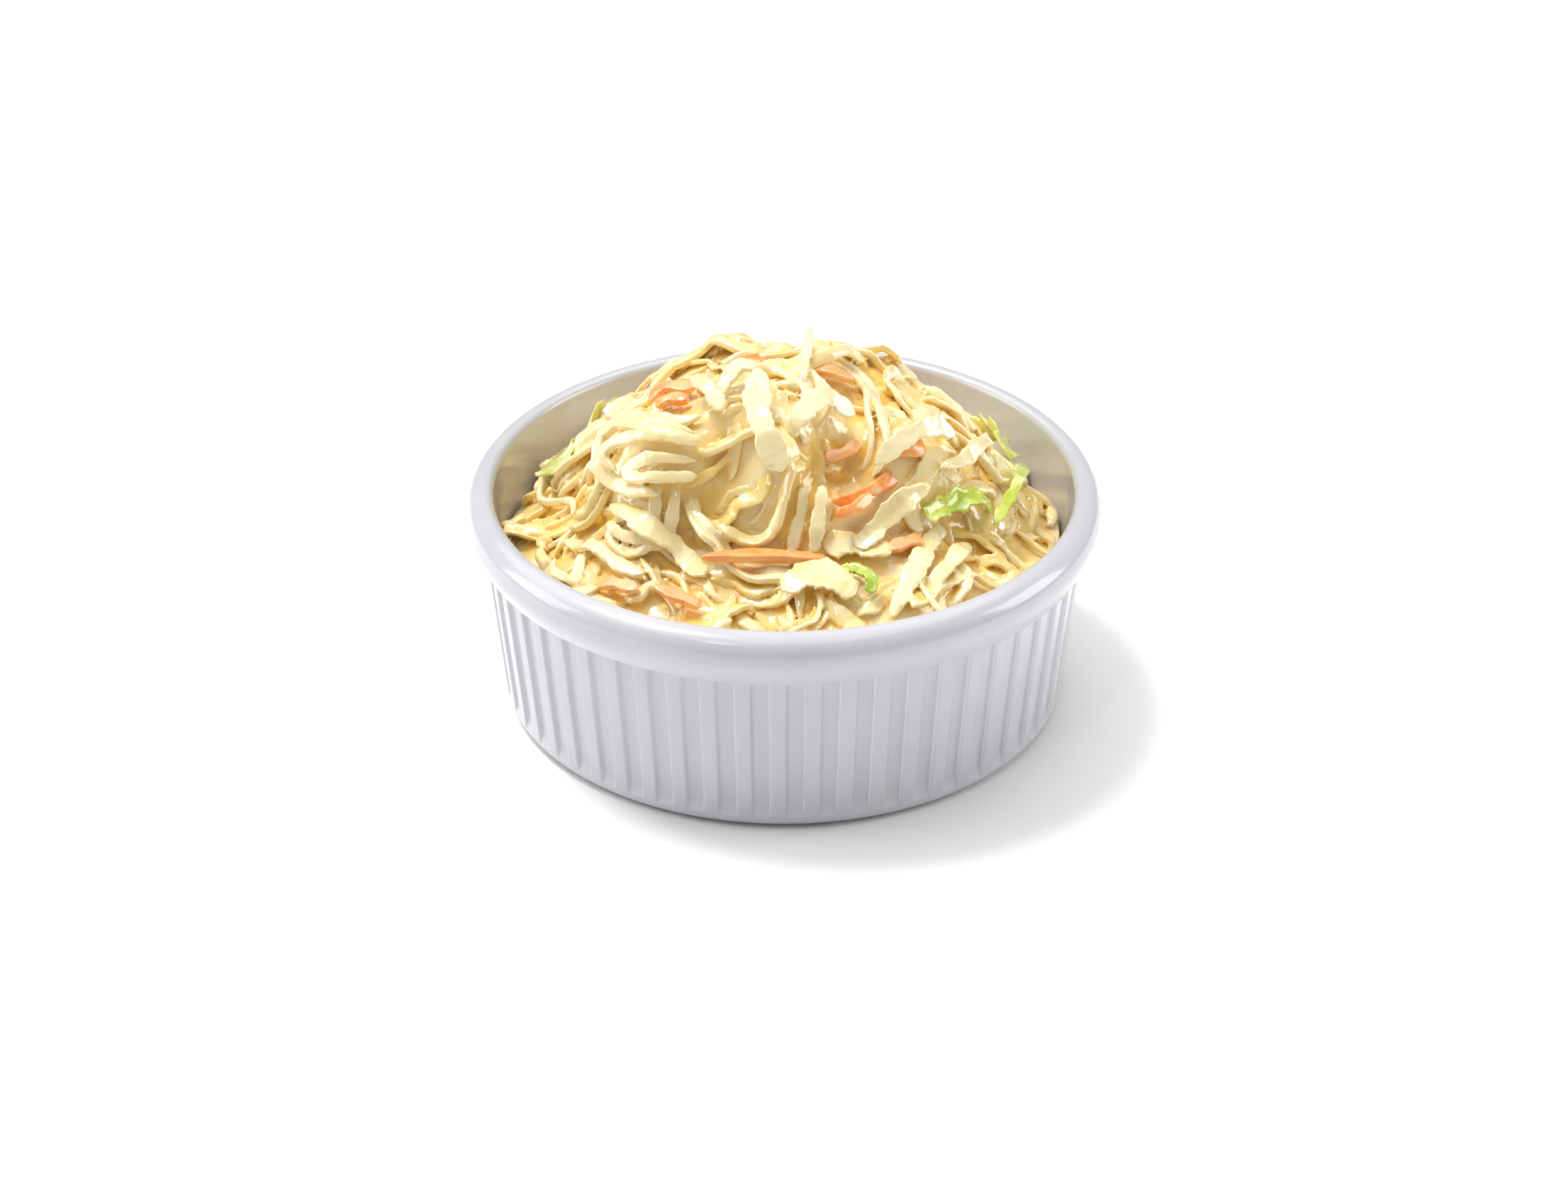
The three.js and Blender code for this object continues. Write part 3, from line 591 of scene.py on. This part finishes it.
def on_front(count):
    """The same, on the side that faces the photo, round a spot that is left open."""
    x, y = on_heap(8 * count)
    in_front = (y <= FRONT_Y) & (np.hypot(x, y) <= FRONT_RADIUS)
    left_out = ~in_front | (np.hypot(x - OPEN_X, y - OPEN_Y) < OPEN_RADIUS)
    nearest = np.argsort(left_out, kind="stable")[:count]
    return x[nearest], y[nearest]


def scatter(batch, count, inside, length, width, thickness, turn, sway, lift=0.0, lifted=0.0, roll=40,
            cup=0.3, ruffle=0.0, tint=(0, 1), sink=(0.2, 0.6), bundle=1):
    """Lays a number of loose shreds of drawn sizes. They lie in bundles of up to a few, side by side and a
    little splayed, as a cabbage's layers fall apart, and some have an end or the middle lifted."""
    length, thickness = (between(*limits, count) for limits in (length, thickness))
    width = width[0] + (width[1] - width[0]) * draw.random(count) ** 1.5
    turn = between(-turn, turn, count)
    sway = between(-sway, sway, count)
    ways = loose_ways(count, inside, length, width, turn, sway)
    share = np.linspace(0, 1, WAY_STEPS)
    for i in range(count):
        first = lowest_way(ways[i], width[i])
        side = side_steps(first, 3.0)
        shade = between(*tint)
        for k in range(draw.integers(1, bundle + 1)):
            wide = width[i] * between(0.75, 1.1)
            apart = k * wide * between(0.7, 1.0) + k * between(-2.5, 2.5) * (share - 0.5)
            way = within_dish((first + side * apart[:, None])[None], np.array([wide]))[0]
            height = lay_down(way, wide, thickness[i], between(*sink)) - END_DIP * np.abs(2 * share - 1) ** 5
            if draw.random() < lifted:
                end = smoothstep(0.5, 1, share) ** 1.5 if draw.random() < 0.6 else np.sin(np.pi * share) ** 2
                height = height + lift * between(0.4, 1) * (end if draw.random() < 0.5 else end[::-1])
            batch.add(
                over_heap(way[:, 0], way[:, 1], height),
                width=wide,
                thickness=thickness[i],
                roll=between(-roll, roll),
                twist=between(-80, 80),
                cup=between(-cup, cup),
                ruffle=ruffle * between(0.4, 1),
                tint=np.clip(shade + between(-0.12, 0.12), 0, 1),
            )


def through(places):
    """A smooth way through a few places, as a Catmull-Rom curve with steps of even length."""
    p = np.array(places, dtype=float)
    p = np.concatenate([[2 * p[0] - p[1]], p, [2 * p[-1] - p[-2]]])
    t = np.linspace(0, 1, 20, endpoint=False)[:, None]
    spans = []
    for a, b, c, d in zip(p[:-3], p[1:-2], p[2:-1], p[3:]):
        spans.append(0.5 * (2 * b + (c - a) * t + (2 * a - 5 * b + 4 * c - d) * t**2
                            + (3 * b - a - 3 * c + d) * t**3))
    curve = np.concatenate(spans + [p[-2:-1]])
    run = np.concatenate([[0], np.cumsum(np.linalg.norm(np.diff(curve[:, :2], axis=0), axis=1))])
    even = np.linspace(0, run[-1], WAY_STEPS)
    return np.stack([np.interp(even, run, curve[:, k]) for k in range(curve.shape[1])], 1)


def place_marked(batch, places, width, thickness, tint, roll=0, cup=0.2, ruffle=0.0, stiff=False):
    """Lays a shred through chosen places: each is x, y and how far the shred is lifted there. A stiff one
    keeps the straight line that fits its heights best."""
    way = through(places)
    height = lay_down(way[:, :2], width, thickness, MARKED_SINK)
    if stiff:
        height = np.polyval(np.polyfit(np.arange(WAY_STEPS), height, 1), np.arange(WAY_STEPS))
    batch.add(
        over_heap(way[:, 0], way[:, 1], height + way[:, 2]),
        width=width,
        thickness=thickness,
        roll=roll,
        twist=0,
        cup=cup,
        ruffle=ruffle,
        tint=tint,
    )


def drops(batch, count, inside):
    """Drops of dressing: short fat strips, nearly as wide as they are long, pressed into the pile."""
    low, high = DROP_SIZE
    scatter(batch, count, inside, (1.5 * low, 2.2 * high), DROP_SIZE, (0.7 * low, 0.8 * high), 30, 10,
            roll=20, cup=0.0, tint=(0, 0.25), sink=(0.5, 1.0))


def make_core(surface):
    """The core and the dressing round the lower shreds: a closed body whose top is a surface over the heap on
    rings (s cos t, s sin t) out to the wall, and whose underside is flat."""
    rings, spokes = CORE_RINGS, CORE_SPOKES
    floor_z = DISH_HEIGHT - CORE_DEPTH
    share = np.linspace(0, 1, rings + 1)[1:, None]
    angle = np.arange(spokes)[None, :] * TURN / spokes
    top = on_surface(DRESSING_REACH * share * np.cos(angle), DRESSING_REACH * share * np.sin(angle), surface)
    edge = top[-1] * (1, 1, 0) + (0, 0, floor_z)
    middle = float(heap_top(0.0, 0.0) + surface.ravel()[cell(0.0, 0.0)])
    points = np.concatenate([top.reshape(-1, 3), edge, [[0, 0, middle], [0, 0, floor_z]]])
    quads = grid_faces(rings + 1, spokes, True)[:, ::-1]
    cap = fan(len(points) - 2, 0, spokes)
    under = fan(len(points) - 1, rings * spokes, spokes, back=True)
    return make_mesh("core", points, quads, np.concatenate([cap, under]), {"tint": np.full(len(points), 0.6)})


def on_surface(x, y, surface):
    """Points over the heap at the heights that a grid gives, kept inside the dish's wall."""
    points = over_heap(x, y, surface.ravel()[cell(x, y)])
    spread = np.hypot(points[..., 0], points[..., 1])
    points[..., :2] *= np.minimum(1, DRESSING_REACH / np.maximum(spread, 1e-6))[..., None]
    return points


def make_sheet(surface, angle, inner, outer):
    """A closed sheet of dressing over a ring of the heap: rows go out from the inner to the outer outline on
    its top, and back on its underside."""
    share = np.linspace(0, 1, SHEET_RINGS)[:, None]
    rho = inner + (outer - inner) * share
    x, y = rho * np.cos(angle), rho * np.sin(angle)
    top, under = on_surface(x, y, surface), on_surface(x, y, surface - SHEET_THICKNESS)
    points = np.concatenate([top, under[::-1], top[:1]])
    quads = grid_faces(len(points), SHEET_SPOKES, True)[:, ::-1]
    points = points.reshape(-1, 3)
    return make_mesh("dressing", points, quads, values={"tint": np.full(len(points), 0.15)})


def mound_outline(angle):
    """The mound's outline as a radius at each angle round the dish: an ellipse."""
    return 1 / np.hypot(np.cos(angle) / MOUND_HALF_X, np.sin(angle) / MOUND_HALF_Y)


def join(pieces, name):
    """One mesh object from several, with the values at their points kept."""
    target = pieces[0]
    with bpy.context.temp_override(active_object=target, object=target, selected_editable_objects=pieces,
                                   selected_objects=pieces):
        bpy.ops.object.join()
    target.name = name
    target.data.name = name
    return target


def applied(piece):
    """The piece with its modifiers worked into its mesh."""
    depsgraph = bpy.context.evaluated_depsgraph_get()
    mesh = bpy.data.meshes.new_from_object(piece.evaluated_get(depsgraph))
    old = piece.data
    piece.modifiers.clear()
    piece.data = mesh
    bpy.data.meshes.remove(old)
    mesh.name = piece.name
    return piece


def fuse(piece, voxel, faces):
    """Melts overlapping strips into one skin on a voxel grid, smooths its steps and thins flat stretches."""
    piece.data.use_remesh_preserve_attributes = True
    piece.data.remesh_voxel_size = voxel * MM
    piece.data.remesh_voxel_adaptivity = 0
    with bpy.context.temp_override(active_object=piece, object=piece, selected_objects=[piece]):
        bpy.context.view_layer.objects.active = piece
        bpy.ops.object.voxel_remesh()
    smooth = piece.modifiers.new("smooth", "SMOOTH")
    smooth.factor = 0.5
    smooth.iterations = SMOOTH_ROUNDS
    whole = 2 * len(piece.data.polygons)
    if whole > faces:
        thin = piece.modifiers.new("thin", "DECIMATE")
        thin.ratio = faces / whole
    applied(piece)
    piece.data.shade_smooth()
    return piece


def blurred(field, radius):
    """A grid smoothed three times by a running mean of the given radius in cells, both ways."""
    for _ in range(3):
        for axis in (0, 1):
            pads = [(radius + 1, radius) if k == axis else (0, 0) for k in (0, 1)]
            total = np.cumsum(np.pad(field, pads, mode="edge"), axis=axis)
            width = 2 * radius + 1
            if axis == 0:
                field = (total[width:] - total[:-width]) / width
            else:
                field = (total[:, width:] - total[:, :-width]) / width
    return field


def hollowness(mesh, co):
    """How far each point's neighbours stand above it, as the sine of their rise, spread over a few rounds:
    above 0 in creases between shreds, and below 0 on their backs."""
    count = len(mesh.vertices)
    normal = np.empty(3 * count, dtype=np.float32)
    mesh.vertices.foreach_get("normal", normal)
    ends = np.empty(2 * len(mesh.edges), dtype=np.int32)
    mesh.edges.foreach_get("vertices", ends)
    a, b = ends.reshape(-1, 2).T
    step = co[b] - co[a]
    step /= np.maximum(np.linalg.norm(step, axis=1, keepdims=True), 1e-6)
    normal = normal.reshape(-1, 3)
    share = 1 / np.maximum(np.bincount(a, minlength=count) + np.bincount(b, minlength=count), 1)
    rise = np.bincount(a, (normal[a] * step).sum(1), count) - np.bincount(b, (normal[b] * step).sum(1), count)
    rise *= share
    for _ in range(HOLLOW_ROUNDS):
        rise = (rise + share * (np.bincount(a, rise[b], count) + np.bincount(b, rise[a], count))) / 2
    return rise


def mark_painted_gap_shade(piece, cover):
    """Stores how far each point lies in a gap, from 0 to 1, as the mask of a painted warm shade in the
    colour: by its depth under the smoothed pile and by the crease that it lies in."""
    mesh = piece.data
    co = np.empty(3 * len(mesh.vertices), dtype=np.float32)
    mesh.vertices.foreach_get("co", co)
    co = co.reshape(-1, 3) / MM
    x, y, z = co.T
    height = (z - heap_top(x, y)) * heap_normal(x, y)[:, 2]
    deep_shade = np.clip((cover.ravel()[cell(x, y)] - height) / WHOLE_DEPTH, 0, 1)
    crease = np.clip((hollowness(mesh, co) + CREASE_START) / CREASE_SPAN, 0, 1)
    painted_gap_shade = np.clip(DEPTH_SHARE * deep_shade + CREASE_SHARE * crease, 0, 1)
    layer = mesh.attributes.get("painted_gap_shade") or mesh.attributes.new("painted_gap_shade", "FLOAT", "POINT")
    layer.data.foreach_set("value", painted_gap_shade.astype(np.float32))


# Materials

class Nodes:
    """A short way to write a node tree: nodes by type with their values, and links between sockets."""

    def __init__(self, tree):
        self.tree = tree

    def add(self, kind, values=None, **settings):
        node = self.tree.nodes.new(kind)
        for key, value in settings.items():
            setattr(node, key, value)
        for key, value in (values or {}).items():
            if isinstance(value, bpy.types.NodeSocket):
                self.tree.links.new(value, node.inputs[key])
            else:
                node.inputs[key].default_value = value
        return node

    def stored(self, name):
        """A value that is stored at the mesh's points."""
        return self.add("ShaderNodeAttribute", attribute_name=name).outputs["Fac"]

    def noise(self, scale, detail, **more):
        """Noise on Object coordinates."""
        place = self.add("ShaderNodeTexCoord").outputs["Object"]
        values = {"Vector": place, "Scale": scale, "Detail": detail, **more}
        return self.add("ShaderNodeTexNoise", values).outputs["Fac"]

    def mix(self, factor, a, b):
        """Two colours mixed."""
        values = {"Factor": factor, "A": a, "B": b}
        return self.add("ShaderNodeMix", values, data_type="RGBA").outputs["Result"]

    def close(self, shader):
        """Links the shader to the material's output."""
        self.add("ShaderNodeOutputMaterial", {"Surface": shader.outputs[0]})


def new_material(name):
    """An empty node material with its output, and the helper to fill it."""
    material = bpy.data.materials.new(name)
    material.use_nodes = True
    material.node_tree.nodes.clear()
    return material, Nodes(material.node_tree)


def colour_ramp(nodes, factor, stops):
    """A ramp through colours at places from 0 to 1."""
    ramp = nodes.add("ShaderNodeValToRGB", {"Fac": factor})
    elements = ramp.color_ramp.elements
    while len(elements) < len(stops):
        elements.new(0.5)
    for element, (place, colour) in zip(elements, stops):
        element.position = place
        element.color = (*colour, 1)
    return ramp.outputs["Color"]


def dressing_group():
    """The creamy dressing over any shred, as a shader group: it whitens the colour where it lies thick, and
    gives the roughness and the height of its lumps. Thick places come from noise on Object coordinates."""
    tree = bpy.data.node_groups.new("creamy_dressing", "ShaderNodeTree")
    for way, name, kind in (
        ("INPUT", "Colour", "Color"),
        ("INPUT", "Cream", "Color"),
        ("INPUT", "Amount", "Float"),
        ("INPUT", "Patch", "Float"),
        ("OUTPUT", "Colour", "Color"),
        ("OUTPUT", "Roughness", "Float"),
        ("OUTPUT", "Height", "Float"),
    ):
        tree.interface.new_socket(name, in_out=way, socket_type="NodeSocket" + kind)
    nodes = Nodes(tree)
    given = nodes.add("NodeGroupInput").outputs
    patches = nodes.noise(given["Patch"], 3.0, Roughness=0.55)
    shift = nodes.add("ShaderNodeMath", {0: patches, 1: given["Amount"]}, operation="ADD")
    thick = nodes.add("ShaderNodeMapRange", {"Value": shift.outputs[0], "From Min": 0.85, "From Max": 1.1},
                      interpolation_type="SMOOTHSTEP")
    fine = nodes.noise(900.0, 4.0, Roughness=0.6)
    rough = nodes.add("ShaderNodeMapRange", {"Value": fine, "From Min": 0.3, "From Max": 0.7,
                                             "To Min": 0.12, "To Max": 0.25})
    grain = nodes.add("ShaderNodeMath", {0: fine, 1: 0.12, 2: nodes.noise(420.0, 1.0)},
                      operation="MULTIPLY_ADD")
    height = nodes.add("ShaderNodeMath", {0: grain.outputs[0], 1: patches}, operation="ADD")
    nodes.add("NodeGroupOutput", {
        "Colour": nodes.mix(thick.outputs[0], given["Colour"], given["Cream"]),
        "Roughness": rough.outputs[0],
        "Height": height.outputs[0],
    })
    return tree


def dressed_material(name, group, colour, cream, amount, patch, scatter_weight, scatter_mm):
    """A wet shred: its own colour under patches of dressing, light passing into it, and a glossy coat."""
    material, nodes = new_material(name)
    dressing = nodes.add("ShaderNodeGroup", node_tree=group)
    nodes.tree.links.new(colour(nodes), dressing.inputs["Colour"])
    for key, value in (("Cream", (*cream, 1)), ("Amount", amount), ("Patch", patch)):
        dressing.inputs[key].default_value = value
    bump = nodes.add("ShaderNodeBump", {"Height": dressing.outputs["Height"], "Strength": 0.45,
                                        "Distance": 0.0005})
    shader = nodes.add("ShaderNodeBsdfPrincipled", {
        "Base Color": dressing.outputs["Colour"],
        "Roughness": dressing.outputs["Roughness"],
        "Normal": bump.outputs[0],
        "Subsurface Weight": scatter_weight,
        "Subsurface Radius": (1.0, 0.85, 0.4),
        "Subsurface Scale": scatter_mm * MM,
        "Coat Weight": 1.0,
        "Coat Roughness": 0.06,
        "Coat IOR": 1.65,
        "IOR": 1.45,
    })
    nodes.close(shader)
    return material


def cabbage_colour(nodes):
    """Cabbage by its tint, from white rib to pale yellow leaf, with a painted warm amber shade in the gaps.
    """
    leaf = colour_ramp(nodes, nodes.stored("tint"), [
        (0.0, (0.99, 0.85, 0.50)),
        (0.45, (0.99, 0.795, 0.38)),
        (0.8, (0.98, 0.735, 0.28)),
        (1.0, (0.96, 0.72, 0.22)),
    ])
    # painted warm shade: the colour goes amber in the gaps and creases between shreds
    values = {"Value": nodes.stored("painted_gap_shade"), "From Min": 0.1, "From Max": 0.8, "To Max": 0.95}
    deep_shade = nodes.add("ShaderNodeMapRange", values, interpolation_type="SMOOTHSTEP")
    return nodes.mix(deep_shade.outputs[0], leaf, (0.99, 0.66, 0.14, 1))


def carrot_colour(nodes):
    """Carrot orange in noise-shaped shades, and paler with its tint where a film of dressing covers it."""
    orange = colour_ramp(nodes, nodes.noise(260.0, 3.0), [
        (0.3, (1.0, 0.24, 0.02)),
        (0.5, (1.0, 0.34, 0.05)),
        (0.75, (1.0, 0.48, 0.13)),
    ])
    return nodes.mix(nodes.stored("tint"), orange, (1.0, 0.62, 0.30, 1))


def leaf_colour(nodes):
    """Green outer leaf: its tint runs from yellow-green to a fresh green, with paler veins from noise."""
    values = {0: nodes.stored("tint"), 1: nodes.noise(330.0, 3.0), 2: 0.15}
    shift = nodes.add("ShaderNodeMath", values, operation="MULTIPLY_ADD")
    return colour_ramp(nodes, shift.outputs[0], [
        (0.15, (0.82, 0.80, 0.26)),
        (0.45, (0.62, 0.70, 0.07)),
        (0.75, (0.34, 0.54, 0.03)),
    ])


def glaze_material():
    """White glazed porcelain: faint mottling in the colour, a painted highlight that makes it paler on the
    ribs' edges, and a glossy coat that waves a little."""
    material, nodes = new_material("white_glaze")
    cloud = nodes.noise(45.0, 3.0)
    colour = colour_ramp(nodes, cloud, [
        (0.3, (0.55, 0.545, 0.575)),
        (0.7, (0.59, 0.585, 0.61)),
    ])
    rough = nodes.add("ShaderNodeMapRange", {"Value": cloud, "To Min": 0.18, "To Max": 0.3})
    bump = nodes.add("ShaderNodeBump", {"Height": nodes.noise(70.0, 2.0), "Strength": 0.12,
                                        "Distance": 0.0006})
    shader = nodes.add("ShaderNodeBsdfPrincipled", {
        # painted highlight: the colour goes paler where the edge mask is 1
        "Base Color": nodes.mix(nodes.stored("edge"), colour, (0.84, 0.84, 0.86, 1)),
        "Roughness": rough.outputs[0],
        "Normal": bump.outputs[0],
        "Coat Weight": 0.6,
        "Coat Roughness": 0.09,
        "IOR": 1.5,
    })
    nodes.close(shader)
    return material


# The stage

def make_floor():
    """A plain pale floor that the dish stands on."""
    half, z = 1500, -0.2
    points = [(-half, -half, z), (half, -half, z), (half, half, z), (-half, half, z)]
    floor = make_mesh("floor", points, [(0, 1, 2, 3)])
    material, nodes = new_material("pale_floor")
    nodes.close(nodes.add("ShaderNodeBsdfDiffuse", {"Color": (0.96, 0.96, 0.965, 1)}))
    floor.data.materials.append(material)


def aim(thing, place, target):
    """Puts a camera or light at a place in millimetres and turns it to look at a target."""
    thing.location = Vector(place) * MM
    thing.rotation_euler = (Vector(target) - Vector(place)).to_track_quat("-Z", "Y").to_euler()


def place_thing(name, data, place, target):
    """A new object for a light or camera, aimed from its place."""
    thing = bpy.data.objects.new(name, data)
    bpy.context.scene.collection.objects.link(thing)
    aim(thing, place, target)
    return thing


def add_light(name, place, target, width, watts):
    """A square soft light of a width in millimetres."""
    lamp = bpy.data.lights.new(name, "AREA")
    lamp.size = width * MM
    lamp.energy = watts
    place_thing(name, lamp, place, target)


def add_sun(name, place, spread, strength):
    """An even light from the direction of a place, as soft as a disc that spans the spread in degrees."""
    lamp = bpy.data.lights.new(name, "SUN")
    lamp.angle = np.radians(spread)
    lamp.energy = strength
    place_thing(name, lamp, place, (0, 0, 0))


def light_stage():
    """Broad soft light from over and behind with a narrower one on its left, a faint one from the front, two
    soft ones at the sides, a dim white surround, and plain colours."""
    scene = bpy.context.scene
    world = bpy.data.worlds.new("surround")
    world.use_nodes = True
    world.node_tree.nodes["Background"].inputs["Color"].default_value = (1, 1, 1, 1)
    world.node_tree.nodes["Background"].inputs["Strength"].default_value = 0.26
    scene.world = world
    add_sun("soft_over", (-150, 240, 900), 75, 1.7)
    add_sun("key_over", (-330, 200, 900), 16, 1.7)
    add_sun("key_front", (-260, -420, 800), 9, 0.12)
    add_light("soft_left", (-900, 60, 420), (0, 0, 40), 500, 2.6)
    add_light("soft_right", (900, 60, 420), (0, 0, 40), 500, 3.3)
    scene.view_settings.view_transform = "Standard"
    scene.view_settings.look = "None"


def add_camera():
    """The camera at the photo's angle and distance."""
    data = bpy.data.cameras.new("camera")
    data.lens = CAMERA_LENS
    data.sensor_width = CAMERA_SENSOR
    data.clip_start = 0.01
    bpy.context.scene.camera = place_thing("camera", data, CAMERA_PLACE, CAMERA_AIM)


# Putting it together

def lay_under(under, carrot, leaf):
    """Lays the lower shreds over the whole heap, the lowest first."""
    straight = {"turn": 14, "sway": 3, "roll": 35, "cup": 0.1}
    scatter(under, 60, on_heap, (12, 26), (2.4, 5.0), (1.2, 1.8), 90, 25, tint=(0.3, 1), bundle=2)
    scatter(carrot, 12, on_heap, (10, 24), (2.0, 3.2), (1.4, 1.9), tint=(0, 0.5), **straight)
    scatter(under, 50, on_heap, (14, 28), (2.0, 4.6), (1.0, 1.5), 110, 30, tint=(0.2, 1), bundle=2)
    scatter(carrot, 14, on_heap, (10, 20), (2.0, 3.2), (1.4, 1.9), tint=(0.1, 0.8), **straight)
    scatter(leaf, 9, on_heap, (7, 15), (2, 4.2), (0.7, 1.0), 60, 20, lift=1.0, lifted=0.3, ruffle=0.4)


def lay_over(bed, mound, share):
    """Lays a share of the top shreds, with broad flakes of leaf and lumps of dressing among them."""
    scatter(bed, int(16 * share), on_heap, (8, 14), (5.0, 8.0), (0.9, 1.3), 40, 20, roll=18, cup=0.35,
            ruffle=0.6, tint=(0.1, 1))
    drops(mound, int(16 * share), on_mound)
    drops(bed, int(16 * share), on_heap)
    scatter(bed, int(160 * share), on_heap, (14, 34), (1.5, 4.6), (1.0, 1.6), 150, 45, lift=1.2, lifted=0.3,
            tint=(0.1, 1), **LEAFY)
    scatter(mound, int(140 * share), on_mound, (14, 36), (1.5, 5.0), (1.0, 1.7), 180, 50, lift=1.6,
            lifted=0.35, tint=(0, 0.8), **LEAFY)


def mark(rows, batches):
    """Lays the shreds of a table in its order."""
    for kind, width, thickness, tint, looks, places in rows:
        place_marked(batches[kind], places, width, thickness, tint, **looks)


def make_salad():
    """Makes the salad's pieces: the lower cabbage, the top of the bed and of the mound, each fused, and the
    carrot and the green leaf."""
    under, bed, mound = Batch("cabbage_under"), Batch("cabbage_bed"), Batch("cabbage_mound")
    carrot, leaf = Batch("carrot_shreds", 0.5, 0.06), Batch("green_leaf", ragged=0.35)
    batches = {"bed": bed, "mound": mound, "carrot": carrot, "leaf": leaf}
    lay_under(under, carrot, leaf)
    core = make_core(blurred(pile, 3) - DRESSING_SINK)
    lay_over(bed, mound, FIRST_SHARE)
    scatter(bed, 48, on_front, (8, 20), (1.3, 3.4), (0.9, 1.4), 150, 45, lift=1.0, lifted=0.25,
            tint=(0.1, 1), **LEAFY)
    mark(COVERED, batches)
    lay_over(bed, mound, LAST_SHARE)
    mark(STANDING_OUT, batches)
    patches = blurred(draw.standard_normal(pile.shape), 7)
    dressing = blurred(pile, 5) - GAP_DEPTH + GAP_CHANGE * patches / patches.std()
    angle = np.arange(SHEET_SPOKES)[None, :] * TURN / SHEET_SPOKES
    outline = mound_outline(angle)
    over_mound = make_sheet(dressing, angle, SHEET_START, outline)
    over_bed = make_sheet(dressing, angle, SHEET_OVERLAP * outline, DRESSING_REACH)
    # the smoothed pile that the painted gap shade is measured under
    cover = blurred(pile, 8)
    group = dressing_group()
    cream = (0.99, 0.84, 0.48)
    cabbage = dressed_material("dressed_cabbage", group, cabbage_colour, cream, 0.35, 150.0, 0.15, 0.8)
    cream = (1.0, 0.70, 0.38)
    orange = dressed_material("dressed_carrot", group, carrot_colour, cream, 0.3, 200.0, 0.25, 0.5)
    cream = (0.90, 0.88, 0.45)
    green = dressed_material("dressed_leaf", group, leaf_colour, cream, 0.35, 200.0, 0.25, 0.5)
    fused = [
        fuse(join([under.build(), core], "cabbage_under"), UNDER_VOXEL, UNDER_FACES),
        fuse(join([bed.build(), over_bed], "cabbage_bed"), OVER_VOXEL, OVER_FACES),
        fuse(join([mound.build(), over_mound], "cabbage_mound"), OVER_VOXEL, OVER_FACES),
    ]
    for piece in fused:
        # each fused piece gets the mask of the painted warm shade in its gaps
        mark_painted_gap_shade(piece, cover)
        finish_piece(piece, cabbage, "coleslaw")
    for batch, material in ((carrot, orange), (leaf, green)):
        finish_piece(batch.build(), material, "coleslaw")


make_floor()
light_stage()
add_camera()
finish_piece(make_dish(), glaze_material(), "dish")
make_salad()
